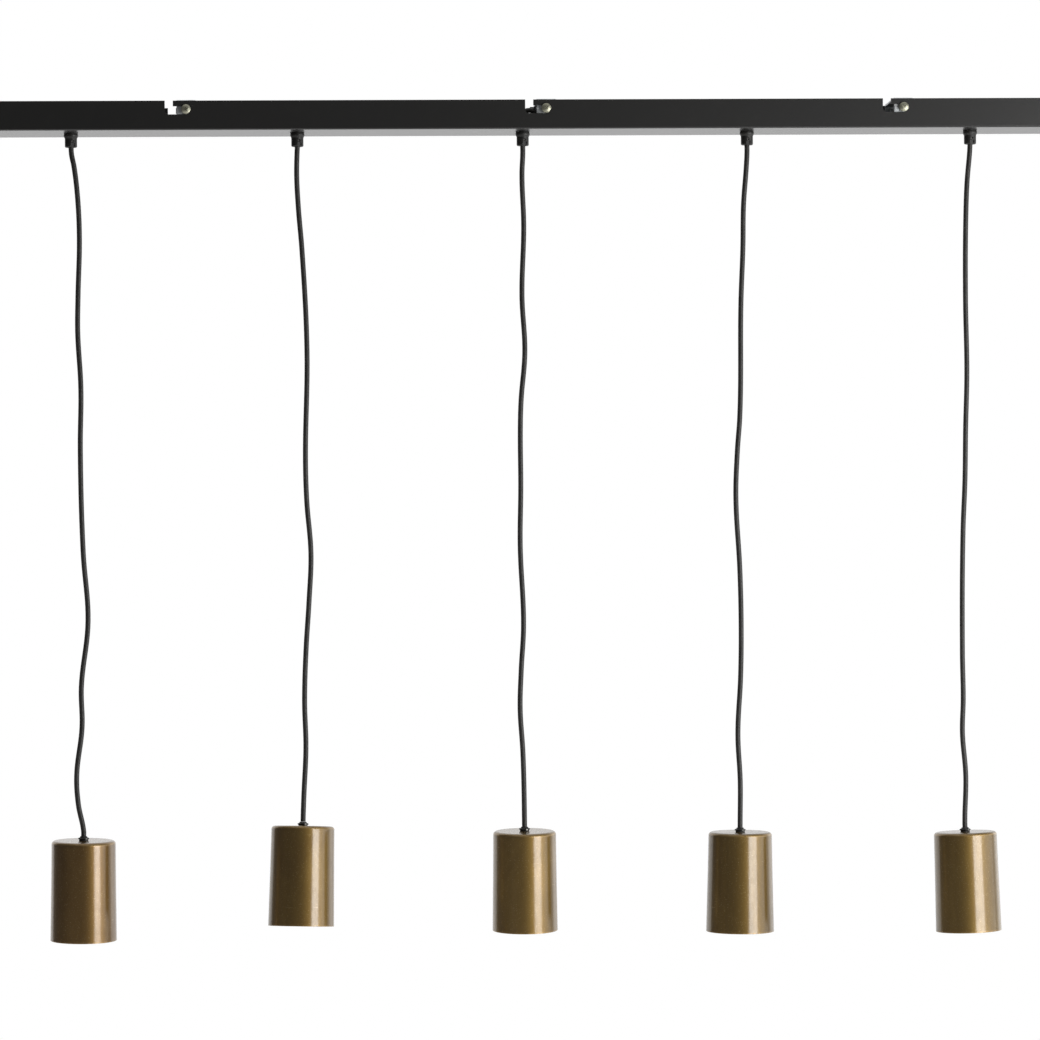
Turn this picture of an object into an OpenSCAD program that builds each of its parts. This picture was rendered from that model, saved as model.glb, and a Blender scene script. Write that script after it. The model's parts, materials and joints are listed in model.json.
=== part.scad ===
// Linear pendant light: a black sheet channel that hangs on three ceiling brackets by bayonet
// slots, and five antique-brass cups on black cords. Millimetres, +Z up. The origin is the middle
// of the middle bracket's upper face, on the ceiling; +X runs along the channel, -Y is the front.

/* [Canopy] */
// Length of the folded channel
bar_length = 1200; // [1120:10:1500]
// Depth of the channel, from the front wall to the rear wall
bar_depth = 78; // [76:1:100]
// Height of the channel's walls
bar_height = 31; // [30:1:50]
// Thickness of the channel's sheet
sheet = 1.2; // [0.8:0.1:1.5]
// Outer radius of the channel's two long folds
fold_r = 1.8; // [1.6:0.1:2.5]
// Gap between the channel's upper edge and the ceiling
ceiling_gap = 1; // [0.5:0.1:2]

/* [Bayonet slots] */
// Distance between neighbouring brackets
bracket_pitch = 380; // [340:5:440]
// How far the middle bracket stands to the right of the channel's middle
bracket_offset = 23.5; // [20:0.5:30]
// Width of a slot, in its upright entry and in its level leg
slot_w = 8.5; // [7:0.5:9]
// Depth of the level leg's upper side below the channel's upper edge
slot_depth = 6; // [4:0.5:8]
// Way that the channel slides from the slots' entries to their ends
slot_travel = 18; // [14:1:24]

/* [Ceiling brackets] */
// Width of the bracket's strip
strip_w = 20; // [14:1:24]
// Thickness of the bracket's strip
strip_t = 2; // [1.5:0.1:3]
// Length of a bracket's legs, from the ceiling down
leg_length = 18; // [16:0.5:22]
// Distance between the two ceiling-screw holes of a bracket
ceiling_hole_gap = 50; // [30:1:54]
// Diameter of the ceiling-screw holes
ceiling_hole_d = 5.5; // [4:0.1:7]
// Side of the square nut that is welded inside each leg
weld_nut_side = 9; // [8:0.5:10]
// Thickness of the welded nut
weld_nut_t = 4; // [3:0.5:5]

/* [Bracket screws] */
// Thread diameter of the screws that carry the channel
bolt_d = 6; // [4:0.5:6]
// Diameter of their heads
bolt_head_d = 10; // [9:0.5:12]
// Height of their heads
bolt_head_h = 3.4; // [2.5:0.1:4]
// Length of their shanks
bolt_length = 10; // [9:0.5:14]

/* [Cords] */
// Distance between neighbouring pendants
cord_pitch = 240; // [200:5:260]
// Diameter of the cords
cord_d = 5.5; // [4.4:0.1:5.8]
// Drop of the longest cord below its grip's rim
cord_drop = 732; // [600:0.5:2000]
// Diameter of one insulated conductor
wire_d = 1.8; // [1.4:0.1:1.8]

/* [Cord grips] */
// Thread diameter of the grips' shanks
grip_thread_d = 10; // [9:0.5:12]
// Length of the shank above the channel's floor
grip_shank_h = 7; // [5:0.5:10]
// Diameter of the grip's body under the channel
grip_d = 12.9; // [12:0.1:14]
// Diameter of the grip's flange, against the channel
grip_flange_d = 15.2; // [14.6:0.1:18]
// Length of the grip under the channel
grip_h = 14.5; // [13:0.5:20]
// Width of the notch in the grip's lower rim
grip_notch_w = 4.4; // [3:0.1:5]
// Depth of the notch
grip_notch_t = 1.4; // [1:0.1:2]
// Diameter of the side screw that pins the cord
grip_screw_d = 2.6; // [2:0.1:3]
// Size across the flats of the locknut inside the channel
locknut_af = 14; // [13:0.5:17]
// Height of the locknut
locknut_h = 3; // [2:0.5:4]

/* [Collars on the shades] */
// Diameter of the collar's upper rim
collar_d = 11.8; // [11:0.1:14]
// Diameter of the collar's foot, on the shade
collar_foot_d = 9.8; // [9.4:0.1:10.6]
// Height of the collar
collar_h = 4.5; // [4:0.1:6]
// Thread diameter of the collar's stem
stem_d = 8; // [7.6:0.1:8.6]
// Length of the stem under the collar
stem_length = 13; // [12:0.5:15]
// Diameter of the collar's side screw
collar_screw_d = 2; // [1.6:0.1:2.2]

/* [Shades] */
// Diameter at the shade's closed top
shade_top_d = 67; // [62:0.5:68]
// Diameter at the shade's open mouth
shade_mouth_d = 70; // [69:0.5:80]
// Height of the shade
shade_h = 106; // [90:1:130]
// Thickness of the shade's metal
shade_wall = 1; // [0.8:0.1:1.4]
// Radius of the rounded upper edge
shade_edge_r = 4; // [2:0.5:5]

/* [Lampholders] */
// Diameter of the lampholder's cap
cap_d = 40; // [38:0.5:46]
// Height of the cap
cap_h = 25; // [22:0.5:28]
// Diameter of the lampholder's body
holder_d = 39; // [36:0.5:44]
// Height of the body below the cap
holder_h = 38; // [34:0.5:44]
// Inner diameter of the screw shell that takes the lamp's cap
shell_d = 26.8; // [26.6:0.1:27]
// Height of the screw shell
shell_h = 24; // [18:0.5:26]
// Thickness of the screw shell's metal
shell_wall = 0.8; // [0.4:0.1:1]

/* [Terminal block] */
// Distance of the block's middle from the channel's middle
block_x = 75; // [72:0.5:80]
// Length of the block along the channel
block_length = 18; // [16:0.5:20]
// Distance between the block's three poles
pole_pitch = 10; // [9:0.5:11]
// Height of the block
block_h = 14; // [13:0.5:16]
// Diameter of the brass inserts
insert_d = 7; // [6.6:0.1:7.4]

/* [Hidden] */
$fn = 64;
PENDANTS = [1:5];
SIDES = [-1, 1];

// Clearances between pieces
slide_gap = 0.1;
leg_gap = 0.4;
thread_gap = 0.05;
hole_gap = 0.15;
bore_gap = 0.25;
seat_gap = 0.2;

// Levels and places of the channel
bar_x = -bracket_offset;
top_z = -ceiling_gap;
under_z = top_z - bar_height;
floor_z = under_z + sheet;
bolt_z = top_z - slot_depth - slide_gap - bolt_d / 2;
leg_y = bar_depth / 2 - sheet - leg_gap;

// Levels of a cord grip: the rim, the point where the cord bends as it swings, and its mouth
rim_z = under_z - grip_h;
pivot_z = rim_z + 1;
mouth_r = 3.8;
mouth_depth = 1.6;
bore_r = cord_d / 2 + bore_gap;
tail_start_z = pivot_z + 1.4;
grip_screw_z = rim_z + 6.2;
grip_turn = [-66, -68, -72, -80, -80];
collar_turn = [-60, -64, -68, -64, -58];

// Routes of the free cords below the grips' rims: [along, towards the rear, up]
CORD_ROUTES = [
    [[0, 0, 1], [0.5, 0, -7], [3, 0, -20], [6.5, 1, -53], [8, 2, -95], [6, 2, -160],
     [5.5, 1, -195], [8.5, -1, -255], [7.5, -2, -320], [9.5, 1, -430], [14, 2, -503],
     [6.5, 0, -573], [7, -1, -615], [1, -2, -667], [2.5, -2, -697], [7.8, -1, -730.9]],
    [[0, 0, 1], [-0.5, 0, -8], [-1, 1, -31], [0.5, 2, -65], [4, 2, -110], [8.5, -1, -217],
     [6, -2, -335], [7, 1, -377], [11, 2, -433], [8.5, 3, -485], [5, 4, -535],
     [3, 6, -590], [4, 7, -640], [1.5, 7, -690], [0.4, 4.5, -718.5]],
    [[0, 0, 1], [0, 0, -8], [-1, 1, -30], [0.5, 2, -85], [-2, 1, -160], [0.5, -1, -220],
     [-4, -3, -272], [-5, -3, -300], [-5, -2, -365], [-6, 0, -425], [-3, 2, -512],
     [-6, 0, -560], [-7.5, -2, -600], [-5, -4, -647], [-3.8, -2, -725.9]],
    [[0, 0, 1], [0, 0, -8], [-1, 0, -25], [-4, 1, -63], [-5, 2, -110], [-7.5, 2, -167],
     [-10, -1, -290], [-13, -2, -327], [-15, -2, -375], [-11, 1, -455], [-10, 2, -515],
     [-11, 2, -568], [-14.5, 1, -630], [-12.5, 0, -680], [-13, 0, -729.5]],
    [[0, 0, 1], [-0.5, 0, -8], [-3.5, 0, -40], [-5.5, -1, -85], [-6.5, -2, -165],
     [-5.5, -1, -245], [-7, 1, -305], [-8, 2, -360], [-10.5, 2, -415], [-12.5, 0, -545],
     [-12, 0, -595], [-13, 1, -630], [-9.6, 2, -677], [-11, 1, -732]]];

// What each spun shade measures more than the stated diameters, at its top and at its mouth
SHADE_SPREAD = [[0.8, 0.2], [0, 0], [0, -0.4], [0.5, 2.5], [0, 0]];

// Tilt of each hanging lamp: about X, then about Y
LAMP_TURNS = [[1, 0.5], [-5, 1.5], [2, 0], [0, 0.5], [-1, -1.5]];

// Inner stretches of the cords, from the grips' axes and the channel's floor to their ends
TAIL_ROUTES = [
    [[0, 0, 9], [2, 0, 17], [8, -2, 21], [16, -5, 21], [32, -10, 16], [50, -13, 8],
     [70, -14, 4], [95, -14, 3]],
    [[0, 0, 9], [2, 0, 17], [8, 2, 21], [16, 5, 21], [32, 10, 16], [50, 13, 8],
     [70, 14, 4], [95, 14, 3]],
    [[0, 0, 9], [-0.5, 0, 15], [1.5, 0, 20], [6, 0, 22.1], [11, 0, 21.4], [19, 0, 16],
     [27, 0, 10], [36, 0, 5]],
    [[0, 0, 9], [-2, 0, 17], [-8, -1, 21], [-16, -3, 21], [-32, -6, 16], [-50, -8, 8],
     [-70, -8, 4], [-95, -8, 3]],
    [[0, 0, 9], [-2, 0, 17], [-8, 2, 21], [-16, 5, 21], [-32, 10, 16], [-50, 13, 8],
     [-70, 14, 4], [-95, 14, 3]]];
TAIL_Y = [-14, 14, 0, -8, 14];
// Side of the block that each inner stretch comes to, and its layer in the block's poles
TAIL_SIDE = [-1, -1, -1, 1, 1];
TAIL_LAYER = [0, 2, 1, 0, 1];
tail_z = 3;
tail_rise = 3.5;
tail_straight = 4;
wire_straight = 1.5;
fan_length = 18;
straight_end = 5;

// Terminal block
pole_z = floor_z + 7;
insert_bore_r = 2.9;
insert_length = block_length - 2;
terminal_screw_r = 1.6;
layer_step = wire_d + 0.1;
wire_in = 3;

// Earth stud and its lead
stud_gap = 11;
stud_x = block_x + block_length / 2 + stud_gap;
stud_y = 27;
stud_d = 4;
stud_h = 9;
lug_r = 4;
lug_t = 0.8;

// Levels of a lamp, from the top of its collar down
seat_z = -collar_h - shade_wall;
boss_h = stem_length - shade_wall;
boss_r = 9.5;
cap_wall = 1.8;
cap_foot_z = seat_z - cap_h;
neck_h = 7;
holder_floor_t = 4;
holder_floor_z = cap_foot_z + neck_h - holder_floor_t;
shell_r = shell_d / 2;
shell_outer_r = shell_r + shell_wall;
shell_top_z = holder_floor_z - 8;
holder_foot_z = cap_foot_z - holder_h;
holder_mouth_r = shell_outer_r + 2.4;
wire_ring_r = 1.3;
collar_screw_z = -2.6;

black = [0.05, 0.05, 0.05];
brass = [0.55, 0.43, 0.24];
zinc = [0.72, 0.73, 0.74];

function grip_x(n) = bar_x + (n - 3) * cord_pitch;
function last(list) = list[len(list) - 1];
route_drop = max([for (route = CORD_ROUTES) -last(route)[2]]);
// A point of a route in its place, with all that hangs drawn out to the chosen drop
function route_point(n, p) = [grip_x(n) + p[0], p[1],
    rim_z + (p[2] > 0 ? p[2] : p[2] * cord_drop / route_drop)];
function cord_end_point(n) = route_point(n, last(CORD_ROUTES[n - 1]));
// Upward axis of a tilted lamp; its cord comes out of the collar along it
function lamp_up(n) = let(b = LAMP_TURNS[n - 1][0], a = LAMP_TURNS[n - 1][1])
    [cos(b) * sin(a), -sin(b), cos(b) * cos(a)];
function cord_points(n) = let(route = CORD_ROUTES[n - 1]) concat(
    [for (i = [0:len(route) - 2]) route_point(n, route[i])],
    [cord_end_point(n) + straight_end * lamp_up(n), cord_end_point(n)]);
function unit(v) = v / norm(v);

// Direction of a path at its point i: the mean of the steps on both sides
function path_tangent(p, i) =
    i == 0 ? unit(p[1] - p[0])
    : i == len(p) - 1 ? unit(p[i] - p[i - 1])
    : unit(unit(p[i + 1] - p[i]) + unit(p[i] - p[i - 1]));

// One closed tube along a path that never runs along Y
module tube(path, radius, sides) {
    rings = [for (i = [0:len(path) - 1])
        let(t = path_tangent(path, i), u = unit(cross(t, [0, 1, 0])), v = cross(u, t))
        for (k = [0:sides - 1])
            let(a = 360 * k / sides)
            path[i] + radius * (cos(a) * u + sin(a) * v)];
    end = (len(path) - 1) * sides;
    walls = [for (i = [0:len(path) - 2]) for (k = [0:sides - 1])
        let(a = i * sides + k, b = i * sides + (k + 1) % sides)
        each [[a, b, b + sides], [a, b + sides, a + sides]]];
    start_cap = [for (k = [1:sides - 2]) [0, k + 1, k]];
    end_cap = [for (k = [1:sides - 2]) [end, end + k, end + k + 1]];
    polyhedron(rings, concat(walls, start_cap, end_cap));
}

// Channel's section in the YZ plane: a box of the given size whose lower corners are round
module channel_section(width, foot_z, head_z, corner) {
    translate([-width / 2, foot_z + corner])
        square([width, head_z - foot_z - corner]);
    translate([-width / 2 + corner, foot_z])
        square([width - 2 * corner, corner * 2]);
    for (side = SIDES)
        translate([side * (width / 2 - corner), foot_z + corner])
            circle(corner);
}

// Turns a section drawn as [y, z] into a solid along X
module along_x(length) {
    rotate([90, 0, 90])
        linear_extrude(length, center = true)
            children();
}

module slot_outline(rest_x) {
    leg_z = top_z - slot_depth - slot_w / 2;
    translate([rest_x - slot_travel - slot_w / 2, leg_z])
        square([slot_w, top_z - leg_z + 1]);
    translate([rest_x - slot_travel, leg_z - slot_w / 2])
        square([slot_travel, slot_w]);
    for (x = [rest_x - slot_travel, rest_x])
        translate([x, leg_z])
            circle(slot_w / 2);
}

module bracket_places() {
    for (k = [-1:1])
        translate([k * bracket_pitch, 0, 0])
            children();
}

module canopy() {
    color(black)
        difference() {
            translate([bar_x, 0, 0])
                along_x(bar_length)
                    channel_section(bar_depth, under_z, top_z, fold_r);
            translate([bar_x, 0, 0])
                along_x(bar_length - 2 * sheet)
                    channel_section(bar_depth - 2 * sheet, floor_z, top_z + 1, fold_r - sheet);
            for (k = [-1:1])
                rotate([90, 0, 0])
                    linear_extrude(bar_depth + 2, center = true)
                        slot_outline(k * bracket_pitch);
            for (n = PENDANTS)
                translate([grip_x(n), 0, under_z - 1])
                    cylinder(r = grip_thread_d / 2 + hole_gap, h = sheet + 2);
        }
}

// One U-shaped strip with a welded nut inside each leg
module bracket(place) {
    bend_r = strip_t + 0.6;
    nut_half = weld_nut_side / 2;
    color(zinc)
        translate([place * bracket_pitch, 0, 0])
            difference() {
                union() {
                    difference() {
                        mirror([0, 0, 1])
                            along_x(strip_w)
                                channel_section(2 * leg_y, 0, leg_length, bend_r);
                        mirror([0, 0, 1])
                            along_x(strip_w + 2)
                                channel_section(2 * (leg_y - strip_t), strip_t,
                                    leg_length + 1, bend_r - strip_t);
                    }
                    for (side = SIDES)
                        translate([-nut_half, side * (leg_y - strip_t - weld_nut_t / 2)
                                - weld_nut_t / 2, bolt_z - nut_half])
                            cube([weld_nut_side, weld_nut_t, weld_nut_side]);
                }
                translate([0, 0, bolt_z])
                    rotate([90, 0, 0])
                        cylinder(r = bolt_d / 2 + thread_gap, h = bar_depth, center = true);
                for (side = SIDES)
                    translate([0, side * ceiling_hole_gap / 2, -strip_t - 1])
                        cylinder(d = ceiling_hole_d, h = strip_t + 2);
            }
}

// One pan-head screw, its head's underside at z = 0 and its shank along -Z
module pan_screw() {
    dome_r = bolt_head_d * 0.9;
    recess_w = 1.1;
    difference() {
        union() {
            intersection() {
                cylinder(d = bolt_head_d, h = bolt_head_h);
                translate([0, 0, bolt_head_h - dome_r])
                    sphere(dome_r);
            }
            translate([0, 0, -bolt_length])
                cylinder(d = bolt_d, h = bolt_length + 0.5);
        }
        for (turn = [0, 90])
            rotate([0, 0, turn])
                translate([-bolt_head_d * 0.27, -recess_w / 2, bolt_head_h - 1.6])
                    cube([bolt_head_d * 0.54, recess_w, 3]);
    }
}

module bracket_screws() {
    color("tan")
        bracket_places()
            for (side = SIDES)
                translate([0, side * (bar_depth / 2 + slide_gap), bolt_z])
                    rotate([-90 * side, 0, 0])
                        rotate([0, 0, 35])
                            pan_screw();
}

// Body of one cord grip, with its notch and screw hole turned to the front
module grip(n) {
    body_r = grip_d / 2;
    flange_r = grip_flange_d / 2;
    notch_top_z = rim_z + 4.4;
    color(black)
        translate([grip_x(n), 0, 0])
            difference() {
                union() {
                    rotate_extrude()
                        polygon([[0, under_z], [flange_r - 0.35, under_z],
                            [flange_r, under_z - 1.8], [flange_r - 0.1, under_z - 3],
                            [body_r, under_z - 5.2], [body_r, rim_z + 0.7],
                            [body_r - 0.7, rim_z], [0, rim_z]]);
                    translate([0, 0, under_z - 1])
                        cylinder(d = grip_thread_d, h = sheet + grip_shank_h + 1);
                }
                translate([0, 0, rim_z - 1])
                    cylinder(r = bore_r, h = grip_h + sheet + grip_shank_h + 2);
                translate([0, 0, rim_z])
                    cylinder(r1 = mouth_r, r2 = bore_r, h = mouth_depth);
                rotate([0, 0, grip_turn[n - 1]]) {
                    translate([body_r - grip_notch_t, -grip_notch_w / 2, rim_z - 1])
                        cube([body_r, grip_notch_w, notch_top_z - rim_z + 1]);
                    translate([0, 0, grip_screw_z])
                        rotate([0, 90, 0])
                            cylinder(r = grip_screw_d / 2 + thread_gap, h = body_r + 1);
                }
            }
}

module grip_screws() {
    recess = 1.2;
    length = grip_d / 2 - recess - cord_d / 2;
    color("dimgray")
        for (n = PENDANTS)
            translate([grip_x(n), 0, grip_screw_z])
                rotate([0, 0, grip_turn[n - 1]])
                    rotate([0, 90, 0])
                        translate([0, 0, cord_d / 2])
                            difference() {
                                cylinder(d = grip_screw_d, h = length);
                                translate([-grip_screw_d, -0.25, length - 0.7])
                                    cube([grip_screw_d * 2, 0.5, 1]);
                            }
}

module grip_locknuts() {
    color(zinc)
        for (n = PENDANTS)
            translate([grip_x(n), 0, floor_z])
                difference() {
                    cylinder(d = locknut_af / cos(30), h = locknut_h, $fn = 6);
                    translate([0, 0, -1])
                        cylinder(r = grip_thread_d / 2 + thread_gap, h = locknut_h + 2);
                }
}

module cord(n) {
    color([0.09, 0.09, 0.085])
        tube(cord_points(n), cord_d / 2, 10);
}

// Where an inner stretch ends: short of the block by the length of its fan of conductors
function tail_end(n) =
    [bar_x + block_x + TAIL_SIDE[n - 1] * (block_length / 2 + fan_length), TAIL_Y[n - 1],
     floor_z + tail_z + TAIL_LAYER[n - 1] * tail_rise];
function tail_points(n) = concat(
    [[grip_x(n), 0, tail_start_z]],
    [for (p = TAIL_ROUTES[n - 1]) [grip_x(n), 0, floor_z] + p],
    [tail_end(n) + [TAIL_SIDE[n - 1] * tail_straight, 0, 0], tail_end(n)]);

module cord_tails() {
    color([0.09, 0.09, 0.085])
        for (n = PENDANTS)
            tube(tail_points(n), cord_d / 2, 10);
}

// One conductor from the end of an inner stretch into a pole of the block
function wire_points(n, pole) =
    let(side = TAIL_SIDE[n - 1], layer = TAIL_LAYER[n - 1], from = tail_end(n),
        face_x = bar_x + block_x + side * block_length / 2,
        pole_y = pole * pole_pitch,
        start = from + [0, pole * wire_ring_r, pole == 0 ? wire_ring_r : -0.7],
        step = (pole_y - start[1]) / 3,
        level = floor_z + 2.2 + 5 * layer,
        in_z = pole_z + (layer - 1) * layer_step)
    [start,
     start - [side * wire_straight, 0, 0],
     [from[0] - side * fan_length / 3, start[1] + step, level],
     [from[0] - side * fan_length * 2 / 3, start[1] + 2 * step, level],
     [face_x, pole_y, in_z],
     [face_x - side * wire_in, pole_y, in_z]];

module conductors() {
    colours = ["saddlebrown", "royalblue", "yellowgreen"];
    for (n = PENDANTS)
        for (pole = [-1:1])
            color(colours[pole + 1])
                tube(wire_points(n, pole), wire_d / 2, 6);
}

module pole_places() {
    for (pole = [-1:1])
        translate([bar_x + block_x, pole * pole_pitch, pole_z])
            children();
}

module terminal_block() {
    width = 3 * pole_pitch + 1;
    color("ivory")
        difference() {
            translate([bar_x + block_x - block_length / 2, -width / 2, floor_z])
                cube([block_length, width, block_h]);
            pole_places() {
                rotate([0, 90, 0])
                    cylinder(r = insert_d / 2 + thread_gap, h = block_length + 2, center = true);
                for (side = SIDES)
                    translate([side * block_length / 4, 0, 0])
                        cylinder(r = terminal_screw_r + 0.5, h = block_h);
            }
        }
}

module terminal_inserts() {
    color("gold")
        pole_places()
            difference() {
                rotate([0, 90, 0])
                    cylinder(d = insert_d, h = insert_length, center = true);
                rotate([0, 90, 0])
                    cylinder(r = insert_bore_r, h = insert_length + 2, center = true);
                for (side = SIDES)
                    translate([side * block_length / 4, 0, 0])
                        cylinder(r = terminal_screw_r + thread_gap, h = insert_d);
            }
}

module terminal_screws() {
    length = floor_z + block_h - pole_z - insert_bore_r - 0.8;
    color(zinc)
        pole_places()
            for (side = SIDES)
                translate([side * block_length / 4, 0, insert_bore_r])
                    difference() {
                        cylinder(r = terminal_screw_r, h = length);
                        translate([-terminal_screw_r - 1, -0.3, length - 0.8])
                            cube([2 * terminal_screw_r + 2, 0.6, 1]);
                    }
}

module at_stud() {
    translate([bar_x + stud_x, stud_y, floor_z])
        children();
}

module earth_stud() {
    color(zinc)
        at_stud()
            cylinder(d = stud_d, h = stud_h);
}

module earth_nut() {
    color(zinc)
        at_stud()
            translate([0, 0, lug_t])
                difference() {
                    union() {
                        cylinder(r = lug_r + 0.5, h = 0.8);
                        cylinder(d = 7 / cos(30), h = 4, $fn = 6);
                    }
                    translate([0, 0, -1])
                        cylinder(r = stud_d / 2 + thread_gap, h = 6);
                }
}

// Ring lug on the stud and its wire to the block's rear pole
module earth_lead() {
    face_x = bar_x + block_x + block_length / 2;
    pole_y = pole_pitch;
    in_z = pole_z + layer_step;
    lug = [bar_x + stud_x, stud_y, floor_z];
    color("yellowgreen") {
        difference() {
            union() {
                translate(lug)
                    cylinder(r = lug_r, h = lug_t);
                translate(lug + [-1.2, -lug_r - 3, 0])
                    cube([2.4, 5, lug_t]);
            }
            translate(lug + [0, 0, -1])
                cylinder(r = stud_d / 2 + thread_gap, h = lug_t + 2);
        }
        tube([[face_x - wire_in, pole_y, in_z], [face_x + 1.5, pole_y, in_z],
              [face_x + 5, pole_y + 2, in_z + 3.5], [face_x + 9, pole_y + 7, in_z + 2],
              lug + [-0.5, -lug_r - 4, 4], lug + [0, -lug_r - 1, lug_t + 0.4]], wire_d / 2, 8);
    }
}

// Puts a lamp's piece, modelled from the top of its collar down, under the end of its cord
module hang(n) {
    turn = LAMP_TURNS[n - 1];
    translate(cord_end_point(n) - [0, 0, seat_gap])
        rotate([turn[0], turn[1], 0])
            children();
}

module collar(n) {
    rim_r = collar_d / 2;
    color(black)
        hang(n)
            difference() {
                union() {
                    rotate_extrude()
                        polygon([[0, 0], [bore_r + 0.7, 0], [bore_r + 1.1, -1], [rim_r, -1.7],
                            [rim_r, -2.6], [collar_foot_d / 2, -3.3],
                            [collar_foot_d / 2, -collar_h], [0, -collar_h]]);
                    translate([0, 0, -collar_h - stem_length])
                        cylinder(d = stem_d, h = stem_length + 1);
                }
                translate([0, 0, -collar_h - stem_length - 1])
                    cylinder(r = bore_r, h = collar_h + stem_length + 2);
                rotate([0, 0, collar_turn[n - 1]])
                    translate([0, 0, collar_screw_z])
                        rotate([0, 90, 0])
                            cylinder(r = collar_screw_d / 2 + thread_gap, h = rim_r + 1);
            }
}

module collar_screw(n) {
    head_x = collar_d / 2 - 0.3;
    tip_x = cord_d / 2 + 0.05;
    color(zinc)
        hang(n)
            rotate([0, 0, collar_turn[n - 1]])
                translate([tip_x, 0, collar_screw_z])
                    rotate([0, 90, 0])
                        difference() {
                            union() {
                                cylinder(d = collar_screw_d, h = head_x - tip_x + 0.1);
                                translate([0, 0, head_x - tip_x + 0.35])
                                    cylinder(r1 = 1.2, r2 = 1, h = 0.7);
                                translate([0, 0, head_x - tip_x])
                                    cylinder(d = collar_screw_d, h = 0.5);
                            }
                            translate([-2, -0.2, head_x - tip_x + 0.7])
                                cube([4, 0.4, 1]);
                        }
}

// End of the cord inside the collar and its stem, with its three conductors
module cord_end(n) {
    sheath_end_z = -collar_h - stem_length - 1.5;
    color([0.09, 0.09, 0.085])
        hang(n) {
            translate([0, 0, sheath_end_z])
                cylinder(d = cord_d, h = -sheath_end_z);
            for (turn = [90, 210, 330])
                rotate([0, 0, turn])
                    translate([wire_ring_r, 0, holder_floor_z + holder_floor_t])
                        cylinder(d = wire_d, h = sheath_end_z - holder_floor_z
                            - holder_floor_t + 0.5);
        }
}

// Section of shade n, as a solid, with its walls moved inwards
module shade_section(n, inset) {
    top_r = (shade_top_d + SHADE_SPREAD[n - 1][0]) / 2;
    mouth_r = (shade_mouth_d + SHADE_SPREAD[n - 1][1]) / 2;
    centre_r = top_r - shade_edge_r;
    edge_z = -collar_h - shade_edge_r;
    foot_z = -collar_h - shade_h;
    difference() {
        polygon([[0, -collar_h - inset], [top_r - inset, -collar_h - inset],
            [top_r - inset, edge_z], [mouth_r - inset, foot_z - inset], [0, foot_z - inset]]);
        translate([centre_r, edge_z])
            difference() {
                square(shade_edge_r + 1);
                circle(shade_edge_r - inset);
            }
    }
}

module shade(n) {
    color(brass)
        hang(n)
            rotate_extrude($fn = 128)
                difference() {
                    shade_section(n, 0);
                    shade_section(n, shade_wall);
                    translate([-1, seat_z - 1])
                        square([stem_d / 2 + hole_gap + 1, shade_wall + 2]);
                }
}

module holder_cap(n) {
    thread_r = stem_d / 2 + thread_gap;
    outer_r = cap_d / 2;
    inner_r = outer_r - cap_wall;
    shoulder_z = seat_z - cap_h + 14;
    color("dimgray")
        hang(n)
            rotate_extrude()
                polygon([[thread_r, seat_z], [boss_r, seat_z], [boss_r, seat_z - 2.5],
                    [outer_r - 1, shoulder_z], [outer_r, shoulder_z - 1.5],
                    [outer_r, cap_foot_z], [inner_r, cap_foot_z], [inner_r, shoulder_z - 2],
                    [boss_r, seat_z - 6], [boss_r, seat_z - boss_h],
                    [thread_r, seat_z - boss_h]]);
}

module holder_body(n) {
    neck_r = cap_d / 2 - cap_wall - 0.2;
    body_r = holder_d / 2;
    bore = shell_outer_r + 0.05;
    color([0.1, 0.1, 0.1])
        hang(n)
            rotate_extrude()
                polygon([[0, holder_floor_z + holder_floor_t],
                    [neck_r, holder_floor_z + holder_floor_t], [neck_r, cap_foot_z],
                    [body_r, cap_foot_z], [body_r, holder_foot_z],
                    [holder_mouth_r, holder_foot_z],
                    [holder_mouth_r, shell_top_z - shell_h - 1],
                    [bore, shell_top_z - shell_h - 1], [bore, holder_floor_z],
                    [0, holder_floor_z]]);
}

// Screw shell and centre contact of a lampholder
module lamp_contacts(n) {
    color("gold")
        hang(n) {
            translate([0, 0, shell_top_z - shell_h])
                difference() {
                    cylinder(r = shell_outer_r, h = shell_h);
                    translate([0, 0, -1])
                        cylinder(r = shell_r, h = shell_h + 2);
                }
            translate([0, 0, holder_floor_z - 2])
                cylinder(r = 2.2, h = 2);
            translate([0, 0, holder_floor_z - 3])
                cylinder(r1 = 3.2, r2 = 4.2, h = 1);
        }
}

canopy();
bracket(-1);  // bracket_left
bracket(0);  // bracket_middle
bracket(1);  // bracket_right
bracket_screws();
grip_locknuts();
grip_screws();
cord_tails();
conductors();
terminal_block();
terminal_inserts();
terminal_screws();
earth_stud();
earth_nut();
earth_lead();
for (n = PENDANTS) {
    grip(n);
    cord(n);
    collar(n);
    collar_screw(n);
    cord_end(n);
    shade(n);
    holder_cap(n);
    holder_body(n);
    lamp_contacts(n);
}
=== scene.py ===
"""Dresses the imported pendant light: the camera and the cords first, then the light, the finishes
and the pieces. Sizes are written in millimetres, as in the part's source."""
import json
import math

import bmesh
import bpy
from mathutils import Euler, Matrix, Vector
from mathutils.geometry import interpolate_bezier


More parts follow.
